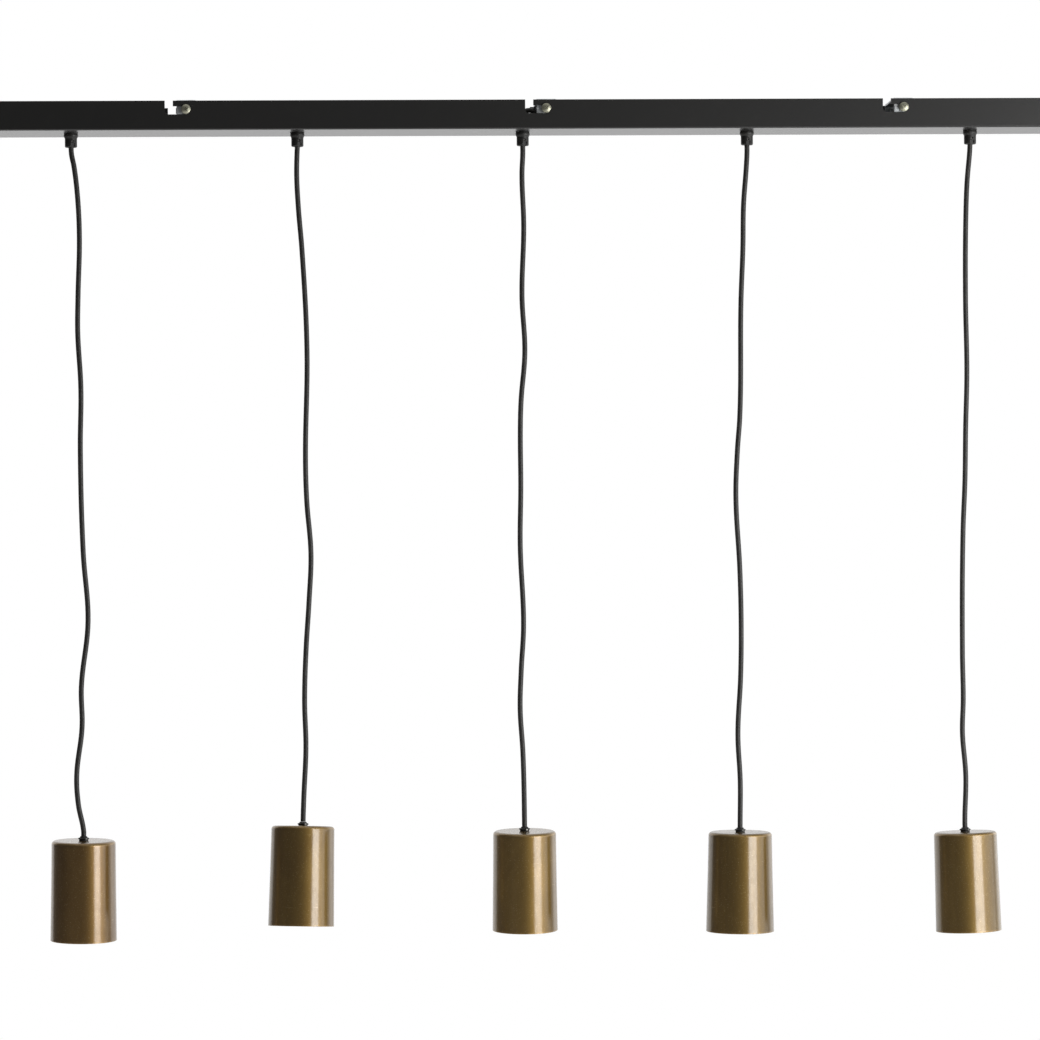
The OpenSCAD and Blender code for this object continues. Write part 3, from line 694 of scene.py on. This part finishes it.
def channel():
    """The folded channel: four walls and a floor of one sheet, its slots and its cord holes."""
    half, deep = BAR_LENGTH / 2, BAR_DEPTH / 2
    obj = block("channel", (BAR_X - half, -deep, UNDER_Z), (BAR_X + half, deep, TOP_Z))
    edit(obj)
    pick("FACE", lambda m, face: face.normal.z > 0.9)
    bpy.ops.mesh.delete(type="ONLY_FACE")
    pick("EDGE", lambda m, edge: m.z < UNDER_Z + 0.1 and abs(m.x - BAR_X) < 1)
    bpy.ops.mesh.bevel(offset=FOLD_R * MM, segments=6, affect="EDGES")
    pick("EDGE", lambda m, edge: abs(m.x - BAR_X) > half - 0.1 and not (m.z > TOP_Z - 0.1))
    bpy.ops.mesh.bevel(offset=0.5 * MM, segments=3, affect="EDGES")
    modify(obj, "SOLIDIFY", thickness=SHEET * MM, offset=-1, use_even_offset=True)
    for k in THREE:
        rest, entry = k * BRACKET_PITCH, k * BRACKET_PITCH - SLOT_TRAVEL
        outline = [(entry - SLOT_R, 5)] + arc(entry, SLOT_Z, SLOT_R, 180, 270)
        outline += arc(rest, SLOT_Z, SLOT_R, -90, 90, 20)
        outline += [(entry + SLOT_R, SLOT_Z + SLOT_R), (entry + SLOT_R, 5)]
        cut(obj, prism("tool", [(x, -50, z) for x, z in outline], (0, 100, 0)))
    for n in PENDANTS:
        cut(obj, rod("tool", 5.15, (grip_x(n), 0, UNDER_Z - 2), (grip_x(n), 0, FLOOR_Z + 2), 40))
    return ease(obj, 0.14)


def bracket(name, place):
    """A U of galvanised strip with a square nut welded inside each leg."""
    leg_y, foot_z, width, thickness = 36.4, -18, 20, 2
    hole_y, hole_r, nut_y, nut_half, tapped_r = 25, 2.75, 33.4, 4.5, 3.05
    bend = arc(34.8, -2.6, 1.6, 0, 90, 6)
    path = [(leg_y, foot_z)] + bend + [(-y, z) for y, z in reversed(bend)] + [(-leg_y, foot_z)]
    strip = folded("strip", width, path, thickness)
    nuts = []
    for side in SIDES:
        tap = (0, side * 30, BOLT_Z), (0, side * 50, BOLT_Z)
        cut(strip, rod("tool", hole_r, (0, side * hole_y, -4), (0, side * hole_y, 2)),
            rod("tool", tapped_r, *tap))
        nut = block("nut", (-nut_half, side * nut_y - 2, BOLT_Z - nut_half),
                    (nut_half, side * nut_y + 2, BOLT_Z + nut_half))
        ease(nut, 0.6, 3)
        cut(nut, rod("tool", tapped_r, *tap))
        nuts.append(finish_mesh(nut))
    obj = joined("bracket", ease(strip, 0.3), *nuts)
    return moved(obj, name, Matrix.Translation((place * BRACKET_PITCH * MM, 0, 0)))


def pan_screw():
    """A pan-head machine screw with a cross recess, its head's underside at z = 0."""
    height, ball_r = 3.4, 9
    dome = [(ball_r * math.sin(a), height - ball_r + ball_r * math.cos(a))
            for a in map(math.radians, (29, 24, 19, 14, 9, 4))]
    head = turned("pan_screw", [(0, -0.5), (2.9, -0.5), (2.9, 0), (4.8, 0, 0.3), (5, 0.3),
                                (5, 1.95, 0.8), *dome, (0, height)], 48)
    for turn in (0, 90):
        tool = block("tool", (-2.7, -0.55, 1.8), (2.7, 0.55, 5))
        edit(tool)
        pick("FACE", lambda m, face: face.normal.z < -0.9)
        bpy.ops.transform.resize(value=(0.45, 0.7, 1), center_override=(0, 0, 0.0018))
        only(tool)
        cut(head, copied(tool, "tool", spin(turn)))
        spare(tool)
    ease(head, 0.08)
    blank = turned("blank", [(0, -10), (2.3, -10), (3, -9.3), (3, 0.2), (0, 0.2)], 32)
    return joined("pan_screw", head, threaded("shank", 3, 1.0, -10, 0.2, blank))


def slot_screws():
    head_y = BAR_DEPTH / 2 + 0.1
    return repeated("slot_screws", pan_screw(), [
        Matrix.Translation(Vector((k * BRACKET_PITCH, side * head_y, BOLT_Z)) * MM)
        @ spin(-90 * side, "X") @ spin(35 + 20 * k) for k in THREE for side in SIDES])


# Grips and collars

def grip_blank():
    """A cord grip on its own axis, its rim at the level of the part, before its side cuts."""
    body = turned("grip", [
        (BORE_R, -30), (BORE_R, RIM_Z + 1.6, 0.6), (3.8, RIM_Z, 0.4), (5.75, RIM_Z, 0.7),
        (6.45, RIM_Z + 0.8, 0.7), (6.45, -37.2, 1), (7.5, -35, 1.2), (7.6, -33.8, 0.8),
        (7.25, -32, 0.2), (4.9, -32), (4.9, -30)], 72, True)
    blank = turned("blank", [
        (BORE_R, -31), (4.9, -31), (4.9, -24.4), (4.3, -23.8, 0.2), (BORE_R + 0.4, -23.8),
        (BORE_R, -24.2)], 48, True)
    return body, threaded("shank", 4.95, 1.0, -31, -23.8, blank, 36)


def grip(n, body, shank):
    obj = copied(body, "grip")
    notch = block("tool", (5.05, -2.2, RIM_Z - 1), (9, 2.2, NOTCH_TOP_Z))
    edit(notch)
    pick("EDGE", lambda m, edge: m.z > RIM_Z + 4 and abs(m.y) > 2)
    bpy.ops.mesh.bevel(offset=0.9 * MM, segments=4, affect="EDGES")
    only(notch)
    cut(obj, notch, rod("tool", 1.35, (3, 0, GRIP_SCREW_Z), (9, 0, GRIP_SCREW_Z)))
    ease(obj, 0.12)
    obj = joined("grip", obj, copied(shank, "shank"))
    return moved(obj, f"cord_grip_{n}",
                 Matrix.Translation((grip_x(n) * MM, 0, 0)) @ spin(GRIP_TURN[n - 1]))


def grip_screws():
    screw = turned("grip_screw", [
        (0, CORD_R), (0.8, CORD_R), (1.3, CORD_R + 0.4), (1.3, 5.2, 0.15), (0, 5.25)], 28)
    cut(screw, block("tool", (-3, -0.25, 4.6), (3, 0.25, 6)))
    ease(screw, 0.04)
    return repeated("grip_side_screws", screw, [
        Matrix.Translation((grip_x(n) * MM, 0, GRIP_SCREW_Z * MM))
        @ spin(GRIP_TURN[n - 1]) @ spin(90, "Y") for n in PENDANTS])


def locknuts():
    return repeated("grip_nuts", hexagon("locknut", 14, 3, 5.05), [
        Matrix.Translation((grip_x(n) * MM, 0, FLOOR_Z * MM)) for n in PENDANTS])


def hexagon(name, across, height, bore):
    """A hexagon nut whose corners are turned down on both faces."""
    corner, flat = across / math.sqrt(3), across * 0.48
    obj = rod(name, corner, (0, 0, 0), (0, 0, height), 6)
    fall = (corner - flat) * 0.5
    blank = turned("blank", [(0, 0), (flat, 0), (corner + 0.1, fall),
                             (corner + 0.1, height - fall), (flat, height), (0, height)], 48)
    cut(obj, blank, operation="INTERSECT")
    cut(obj, turned("tool", [(0, -1), (bore + 1.2, -1), (bore, 0.2), (bore, height - 0.2),
                             (bore + 1.2, height + 1), (0, height + 1)], 40))
    return ease(obj, 0.08)


def collar_blank():
    """A collar from its top down, and its threaded stem."""
    body = turned("collar", [
        (BORE_R, -5.5), (BORE_R, -0.4, 0.2), (BORE_R + 0.3, 0, 0.15), (3.7, 0, 0.3),
        (4.1, -1.2, 0.4), (5.5, -1.6, 0.3), (5.9, -1.9, 0.3), (5.9, -2.6, 0.3),
        (4.9, -3.3, 0.3), (4.9, -4.5), (3.9, -4.5), (3.9, -5.5)], 64, True)
    blank = turned("blank", [
        (BORE_R, -5), (3.95, -5), (3.95, -17.1), (3.5, -17.5), (BORE_R, -17.5)], 40, True)
    return body, threaded("stem", 3.98, 1.0, -17.5, -5, blank, 32)


def collar(n, body, stem):
    obj = cut(copied(body, "collar"),
              rod("tool", 1.05, (3.5, 0, COLLAR_SCREW_Z), (8, 0, COLLAR_SCREW_Z)))
    ease(obj, 0.07)
    obj = joined("collar", obj, copied(stem, "stem"))
    return moved(obj, f"shade_collar_{n}", lamp_place(n) @ spin(COLLAR_TURN[n - 1]))


def collar_screw():
    """A cheese-head screw lying along X, its slot upright."""
    obj = turned("collar_screw", [
        (0, 2.8), (0.7, 2.8), (1, 3.1), (1, 5.93), (1.15, 5.93, 0.1), (1.2, 6.1, 0.1),
        (1.1, 6.6, 0.25), (0, 6.62)], 32)
    cut(obj, block("tool", (-3, -0.2, 6.3), (3, 0.2, 7)))
    ease(obj, 0.04)
    return moved(obj, "collar_screw",
                 Matrix.Translation((0, 0, COLLAR_SCREW_Z * MM)) @ spin(90, "Y"))


# Lamps

def shade(n):
    """Spun cup n: closed top with the collar's hole, rounded edge, slightly flared wall."""
    top, mouth = (spread / 2 for spread in SHADE_SPREAD[n - 1])
    sheet, inner_z = 1, SHADE_TOP_Z - 1
    outer = [(33.5, -8.5), (33.56, -12), (33.75, -30), (34.02, -50), (34.3, -68), (34.6, -86),
             (34.88, -104), (35, SHADE_FOOT_Z)]
    wall = [(r + top + (mouth - top) * (SHADE_TOP_Z - z) / SHADE_H, z) for r, z in outer]
    edge = wall[0][0]
    inside = [(r - sheet, z) for r, z in reversed(wall[1:-1])]
    return turned("shade", [
        (4.15, -5.35, 0.1), (4.15, -4.6), (4.3, SHADE_TOP_Z), (14, SHADE_TOP_Z),
        (26, SHADE_TOP_Z), (edge, SHADE_TOP_Z, 4)] + wall[1:-1]
        + [(*wall[-1], 0.35), (wall[-1][0] - sheet, SHADE_FOOT_Z, 0.35)] + inside
        + [(edge - sheet, inner_z, 3), (26, inner_z), (14, inner_z), (4.25, inner_z)], 160, True)


def pick_ribs(low, high, every):
    """In edit mode, selects one in so many of a holder's facets between two levels."""
    facet = 360 / 96
    pick("FACE", lambda m, face: low < m.z < high and m.xy.length > 19
         and round(math.degrees(math.atan2(m.y, m.x)) / facet) % every == 0)


def holder_cap():
    """The lampholder's cap: a boss for the stem, a shoulder and a ribbed skirt."""
    obj = turned("holder_cap", [
        (4.05, -17.5), (4.05, -5.6), (4.4, -5.5), (9.5, -5.5, 0.4), (9.5, -8, 0.8),
        (18.6, -16.3, 1.5), (20, -18.2, 1.2), (20, -20.2), (19.65, -20.5), (19.65, -29.4),
        (20, -29.7), (20, -30.5, 0.3), (18.2, -30.5), (18.2, -18.5, 1), (9.5, -11.5, 0.8),
        (9.5, -17.5, 0.5)], 96, True)
    edit(obj)
    pick_ribs(-29, -21, 4)
    bpy.ops.mesh.extrude_region_shrink_fatten(TRANSFORM_OT_shrink_fatten={"value": 0.3 * MM})
    return finish_mesh(obj)


def holder_body():
    """The lampholder's body: a neck in the cap, a ring of small ribs and a rounded mouth."""
    obj = turned("holder_body", [
        (0, -23.5), (18, -23.5, 0.4), (18, -30.5), (19.5, -30.5, 0.3), (19.5, -33),
        (19.2, -33.3), (19.2, -35), (19.5, -35.3), (19.5, -63.5), (19.2, -63.8), (19.2, -65.4),
        (19.5, -65.7), (19.5, -68.5, 1.0), (16.6, -68.5, 0.6), (16.6, -60.5), (14.25, -60.5),
        (14.25, -27.5), (0, -27.5)], 96)
    edit(obj)
    pick_ribs(-63, -36, 6)
    bpy.ops.mesh.inset(thickness=0.35 * MM)
    bpy.ops.mesh.extrude_region_shrink_fatten(TRANSFORM_OT_shrink_fatten={"value": -0.35 * MM})
    return finish_mesh(obj)


def contacts():
    """The round-threaded shell, and the sprung centre contact on its stud."""
    pitch, middle, swing, top, foot = 3.62, 13.7, 0.3, -35.5, -59.5
    tooth = [(middle + swing * math.sin(math.radians(30 * k)), pitch * k / 12)
             for k in range(13)]
    shell = wound("shell", tooth, pitch, foot, top, 64)
    edit(shell)
    for level, above in ((top, True), (foot, False)):
        bpy.ops.mesh.select_all(action="SELECT")
        bpy.ops.mesh.bisect(plane_co=(0, 0, level * MM), plane_no=(0, 0, 1),
                            clear_outer=above, clear_inner=not above)
    weld()
    modify(shell, "SOLIDIFY", thickness=0.3 * MM, offset=0)
    finish_mesh(shell)
    tongue = turned("tongue", [
        (0, -27.5), (2.2, -27.5), (2.2, -29.6), (4.2, -29.6, 0.2), (4.1, -30.1, 0.3),
        (3, -30.6, 0.6), (0, -30.9)], 40)
    return joined("contacts", shell, tongue)


def cord_foot():
    """The sheathed end of a cord in its collar's stem."""
    return turned("sheath", [
        (0, 0), (CORD_R, 0), (CORD_R, -18.8, 0.2), (CORD_R - 0.25, -19), (0, -19)], 24)


# Wiring in the canopy

def tail_end(n):
    """Where inner stretch n stops, short of the block by the length of its fan of wires."""
    side = TAIL_SIDE[n - 1]
    return Vector((BLOCK_X + side * (BLOCK_LENGTH / 2 + FAN), TAIL_Y[n - 1],
                   FLOOR_Z + 3 + TAIL_LAYER[n - 1] * 3.5))


def tail(n):
    start = Vector((grip_x(n), 0, FLOOR_Z))
    end = tail_end(n)
    points = [(grip_x(n), 0, PIVOT_Z + 1.4)] + [start + Vector(p) for p in TAIL_ROUTES[n - 1]]
    points += [end + Vector((TAIL_SIDE[n - 1] * 4, 0, 0)), end]
    return lead(f"inner_cord_{n}", points, CORD_R, 16, 6)[0]


def conductor(n, pole):
    side, layer, start = TAIL_SIDE[n - 1], TAIL_LAYER[n - 1], tail_end(n)
    face_x, pole_y = BLOCK_X + side * BLOCK_LENGTH / 2, pole * POLE_PITCH
    first = start + Vector((0, pole * CORE_RING, CORE_RING if pole == 0 else -0.7))
    step, level = (pole_y - first.y) / 3, FLOOR_Z + 2.2 + 5 * layer
    in_z = POLE_Z + (layer - 1) * LAYER_STEP
    points = [first, first - Vector((side * 1.5, 0, 0)),
              (start.x - side * FAN / 3, first.y + step, level),
              (start.x - side * FAN * 2 / 3, first.y + 2 * step, level),
              (face_x, pole_y, in_z), (face_x - side * 3, pole_y, in_z)]
    return core(f"wire_{n}_{pole + 1}", points, 6, pole == 1)


def core(name, points, steps, striped):
    """An insulated conductor. A striped one has its second colour on its upper faces."""
    obj, line = lead(name, points, WIRE_R, 12, steps)
    if striped:
        marks = obj.data.attributes.new("stripe", "FLOAT", "FACE")
        for face in obj.data.polygons:
            near = min(line, key=lambda p: (p - face.center).length_squared)
            out = (face.center - near).normalized()
            marks.data[face.index].value = 1.0 if out.z > 0.35 else 0.0
    return obj


def terminal_block():
    """A three-pole block: chamfered housing, a waist between the poles, wells for the screws."""
    low, high = FLOOR_Z, FLOOR_Z + BLOCK_H
    half = BLOCK_LENGTH / 2
    obj = block("terminal_housing", (BLOCK_X - half, -15.5, low), (BLOCK_X + half, 15.5, high))
    edit(obj)
    pick("EDGE", lambda m, edge: m.z > high - 0.1 and abs(m.x - BLOCK_X) > half - 0.1)
    bpy.ops.mesh.bevel(offset=1.6 * MM, segments=1, affect="EDGES")
    only(obj)
    for waist_y in (-5, 5):
        front, rear = waist_y - 0.45, waist_y + 0.45
        cut(obj, block("tool", (BLOCK_X - 20, front, high - 3), (BLOCK_X + 20, rear, 5)))
        for side in SIDES:
            x = BLOCK_X + side * half
            cut(obj, block("tool", (x - 1.2, front, low - 1), (x + 1.2, rear, 5)))
    for pole in THREE:
        y = pole * POLE_PITCH
        cut(obj, rod("tool", 3.55, (BLOCK_X - 15, y, POLE_Z), (BLOCK_X + 15, y, POLE_Z)))
        for side in SIDES:
            x = BLOCK_X + side * SCREW_X
            cut(obj, rod("tool", 2.1, (x, y, POLE_Z), (x, y, high + 2)))
    return ease(obj, 0.2)


def terminal_inserts():
    """The block's tubes, each with two tapped holes for its screws."""
    pieces = []
    for pole in THREE:
        y = pole * POLE_PITCH
        obj = rod("insert", 3.5, (BLOCK_X - 8, y, POLE_Z), (BLOCK_X + 8, y, POLE_Z))
        cut(obj, rod("tool", 2.9, (BLOCK_X - 12, y, POLE_Z), (BLOCK_X + 12, y, POLE_Z)))
        for side in SIDES:
            x = BLOCK_X + side * SCREW_X
            cut(obj, rod("tool", 1.65, (x, y, POLE_Z), (x, y, POLE_Z + 6), 20))
        pieces.append(ease(obj, 0.1))
    return joined("terminal_tubes", *pieces)


def terminal_screws():
    blank = turned("blank", [
        (0, 0), (1.2, 0), (1.57, 0.35), (1.57, 3.0), (1.4, 3.3), (0, 3.3)], 28)
    cut(blank, block("tool", (-3, -0.3, 2.5), (3, 0.3, 4)))
    screw = finish_mesh(threaded("screw", 1.6, 0.5, 0, 3.3, blank, 20))
    return repeated("terminal_clamp_screws", screw, [
        Matrix.Translation(Vector((BLOCK_X + side * SCREW_X, pole * POLE_PITCH,
                                   POLE_Z + 2.9)) * MM) @ spin(37 * pole + 25 * side)
        for pole in THREE for side in SIDES])


def earth_pieces():
    """The stud, its flange nut and the lead with its ring lug, all at the stud."""
    place = Matrix.Translation(Vector(STUD) * MM)
    blank = turned("blank", [(0, 0), (2, 0), (2, 8.5), (1.6, 9), (0, 9)], 28)
    rough = threaded("stud", 2, 0.7, 0, 9, blank)
    stud = copied(finish_mesh(rough), "earth_pin", place)
    nut = hexagon("earth_hexagon", 7, 4, 2.05)
    flange = turned("flange", [
        (2.05, 0), (4.3, 0), (4.5, 0.2), (4.5, 0.5), (3.9, 0.9, 0.2), (2.05, 0.9)], 40, True)
    nut = joined("flanged", nut, flange)
    fixed = copied(nut, "earth_flange_nut", place @ Matrix.Translation((0, 0, 0.8 * MM)))
    lug = turned("lug", [(2.05, 0), (4, 0, 0.15), (4, 0.8, 0.15), (2.05, 0.8)], 40, True)
    tongue = block("tongue", (-1.2, -7, 0), (1.2, -3.4, 0.8))
    lug = joined("lug", lug, ease(tongue, 0.12))
    ring = copied(lug, "ring_lug", place)
    face_x, in_z = BLOCK_X + BLOCK_LENGTH / 2, POLE_Z + LAYER_STEP
    stud_at = Vector(STUD)
    wire = core("earth_wire", [
        (face_x - 3, POLE_PITCH, in_z), (face_x + 1.5, POLE_PITCH, in_z),
        (face_x + 5, POLE_PITCH + 2, in_z + 3.5), (face_x + 9, POLE_PITCH + 7, in_z + 2),
        stud_at + Vector((-0.5, -8, 4)), stud_at + Vector((0, -5, 1.2))], 6, True)
    spare(rough, nut, lug)
    return stud, fixed, ring, wire


# Light and ground

def stage_finish(name, colour, kinds, strength=1.0):
    """A matt ground that shows its own white to these kinds of ray, from its front only."""
    f = Finish(name, {})
    f.nodes.remove(f.shader)
    light = f.add("ShaderNodeLightPath").socket.node
    seen = Wire(f, light.outputs[kinds[0]])
    for kind in kinds[1:]:
        seen = f.add("ShaderNodeMath", {"operation": "MAXIMUM"},
                     [seen, Wire(f, light.outputs[kind])])
    matt = f.add("ShaderNodeBsdfDiffuse", {}, {"Color": (*colour, 1)})
    glow = f.add("ShaderNodeEmission", {}, {"Color": (1, 1, 1, 1), "Strength": strength})
    front = f.add("ShaderNodeMixShader", {}, [seen, matt, glow])
    behind = f.add("ShaderNodeNewGeometry", output="Backfacing")
    both = f.add("ShaderNodeMixShader", {}, [behind, front, f.add("ShaderNodeBsdfTransparent")])
    f.plug(f.nodes["Material Output"].inputs["Surface"], both)
    return f.material


def ground():
    """The pale floor, and a backdrop that is white to the camera and in reflections."""
    pale, white = (0.8, 0.8, 0.79), (0.8, 0.8, 0.8)
    bpy.ops.object.select_all(action="DESELECT")
    bpy.ops.mesh.primitive_plane_add(size=5.2, location=(0, 0, -1.55))
    floor = begun("floor")
    floor.data.materials.append(stage_finish("pale floor", pale, ["Is Glossy Ray"], 0.95))
    bpy.ops.object.select_all(action="DESELECT")
    bpy.ops.mesh.primitive_plane_add(size=7.6, location=(0.6, 2.2, 0.8),
                                     rotation=(math.radians(90), 0, 0))
    back = begun("backdrop")
    back.data.materials.append(stage_finish("white backdrop", white, [
        "Is Camera Ray", "Is Glossy Ray", "Is Transmission Ray"]))


def area_light(name, width, height, location):
    lamp = bpy.data.lights.new(name, "AREA")
    lamp.shape, lamp.size, lamp.size_y = "RECTANGLE", width, height
    obj = bpy.data.objects.new(name, lamp)
    bpy.context.collection.objects.link(obj)
    obj.location = location
    return obj


def soft_light(name, left, right, radiance):
    """An upright soft panel between two places on plan, as bright as stated wherever it's seen."""
    left, right, middle, height = Vector(left), Vector(right), -0.55, 1.3
    obj = area_light(name, (right - left).length, height, (*((left + right) / 2), middle))
    obj.data.energy = math.pi * obj.data.size * height * radiance
    facing = Vector((left.y - right.y, right.x - left.x, 0))
    obj.rotation_euler = facing.to_track_quat("-Z", "Y").to_euler()


def light_world():
    """White to the camera, and dimmer on matt surfaces and in reflections."""
    seen, matt, gloss = 1.0, 0.5, 0.12
    world = bpy.context.scene.world = bpy.data.worlds.new("studio")
    world.use_nodes = True
    # Found by rays alone, so that gloss and matt each see the strength meant for them
    world.cycles.sampling_method = "NONE"
    nodes, links = world.node_tree.nodes, world.node_tree.links
    ray = nodes.new("ShaderNodeLightPath")
    glossy = nodes.new("ShaderNodeMix")
    glossy.inputs[2].default_value, glossy.inputs[3].default_value = matt, gloss
    links.new(ray.outputs["Is Glossy Ray"], glossy.inputs[0])
    level = nodes.new("ShaderNodeMix")
    level.inputs[3].default_value = seen
    links.new(ray.outputs["Is Camera Ray"], level.inputs[0])
    links.new(glossy.outputs[0], level.inputs[2])
    links.new(level.outputs[0], nodes["Background"].inputs["Strength"])
    nodes["Background"].inputs["Color"].default_value = (1, 1, 1, 1)


def light_room():
    bpy.context.scene.view_settings.view_transform = "Standard"
    light_world()
    soft_light("key light", (1.0, -1.67), (1.88, -1.12), 8.2)
    soft_light("side light", (1.96, -1.07), (2.4, 0.5), 1.7)
    soft_light("far side light", (2.42, 0.55), (1.75, 2.1), 0.7)
    area_light("overhead light", 2.6, 2.4, (0, 0, 1.3)).data.energy = 12


# Assembly

light_room()
ground()

LACQUER, FITTING, SHEATH = black_lacquer(), black_fitting(), cord_sheath()
ZINC_STRIP = galvanised()
ZINC = plated("bright zinc", (0.62, 0.63, 0.64), (0.42, 0.43, 0.43), 0.28)
DULL_ZINC = plated("dull zinc", (0.24, 0.24, 0.225), (0.15, 0.15, 0.14), 0.45)
PASSIVATED = plated("passivated screw", (0.43, 0.42, 0.33), (0.31, 0.31, 0.24), 0.4)
# Blackened steel of the grips' side screws, made darker still as painted shade of the recesses they
# sit in.
DARK_STEEL_AND_SHADE = plated("blackened steel", (0.085, 0.083, 0.08), (0.05, 0.048, 0.045), 0.34)
CONTACT = plated("pressed brass", (0.78, 0.57, 0.24), (0.6, 0.4, 0.14), 0.24)
HOUSING = moulded("ivory housing", (0.74, 0.71, 0.62), (0.66, 0.62, 0.52), 0.42)
HOLDER = moulded("black holder", (0.012, 0.0118, 0.0112), (0.019, 0.0185, 0.0175), 0.38)
COVERS = (wire_cover("brown wire", (0.13, 0.055, 0.025)),
          wire_cover("blue wire", (0.02, 0.08, 0.32)),
          wire_cover("earth wire", (0.05, 0.28, 0.04), (0.75, 0.6, 0.03)))

for cord in cords:
    cord.data.materials.append(SHEATH.material)

fit(channel(), LACQUER, "black_paint", "canopy")
for place, side in ((-1, "left"), (0, "middle"), (1, "right")):
    fit(bracket(f"ceiling_bracket_{side}", place), ZINC_STRIP, "zinc", f"bracket_{side}")

fit(slot_screws(), PASSIVATED, "screw_zinc", "bracket_screws")

grip_body, grip_shank = grip_blank()
collar_body, collar_stem = collar_blank()
parts = {"cap": holder_cap(), "body": holder_body(), "contacts": contacts(),
         "foot": cord_foot(), "screw": collar_screw()}
for n in PENDANTS:
    at = lamp_place(n)
    fit(grip(n, grip_body, grip_shank), FITTING, "black_fitting", f"grip_{n}")
    fit(collar(n, collar_body, collar_stem), FITTING, "black_fitting", f"collar_{n}")
    fit(copied(parts["screw"], f"side_screw_{n}", at @ spin(COLLAR_TURN[n - 1])), DULL_ZINC,
        "zinc", f"collar_screw_{n}")
    fit(copied(parts["foot"], f"cord_foot_{n}", at), SHEATH, "cord", f"cord_end_{n}")
    for k, cover in enumerate(COVERS):
        angle = math.radians(90 + 120 * k)
        x, y = CORE_RING * math.cos(angle), CORE_RING * math.sin(angle)
        wire = core(f"lamp_wire_{n}_{k}", [
            (x, y, -18.5), (x * 1.1, y * 1.1, -21), (x, y, -23.5)], 3, k == 2)
        placed = moved(wire, f"lamp_wire_{n}_{k + 1}", at)
        placed.data.materials.append(cover.material)
        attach(placed, f"lamp_{n}")
    cup = moved(shade(n), f"brass_shade_{n}", at)
    fit(cup, antique_brass(n), "antique_brass", f"shade_{n}")
    for part, finish, slot, node in (("cap", HOLDER, "holder_plastic", "holder_cap"),
                                     ("body", HOLDER, "holder_plastic", "holder_body"),
                                     ("contacts", CONTACT, "contact_brass", "lamp_contacts")):
        fit(copied(parts[part], f"lampholder_{part}_{n}", at), finish, slot, f"{node}_{n}")
spare(grip_body, grip_shank, collar_body, collar_stem, *parts.values())

fit(grip_screws(), DARK_STEEL_AND_SHADE, "dark_steel", "grip_screws")
fit(locknuts(), ZINC, "zinc", "grip_locknuts")
fit(joined("inner_cords", *[tail(n) for n in PENDANTS]), SHEATH, "cord", "cord_tails")
for pole, colour, slot in ((0, "brown", "wire_insulation"), (1, "blue", "wire_insulation"),
                           (2, "earth", "earth_insulation")):
    wires = joined(f"{colour}_wires", *[conductor(n, pole - 1) for n in PENDANTS])
    fit(wires, COVERS[pole], slot, "conductors")
fit(terminal_block(), HOUSING, "block_plastic", "terminal_block")
fit(terminal_inserts(), CONTACT, "contact_brass", "terminal_inserts")
fit(terminal_screws(), ZINC, "zinc", "terminal_screws")
stud, nut, lug, wire = earth_pieces()
fit(stud, ZINC, "zinc", "earth_stud")
fit(nut, ZINC, "zinc", "earth_nut")
fit(lug, ZINC, "zinc", "earth_lead")
fit(wire, COVERS[2], "earth_insulation", "earth_lead")
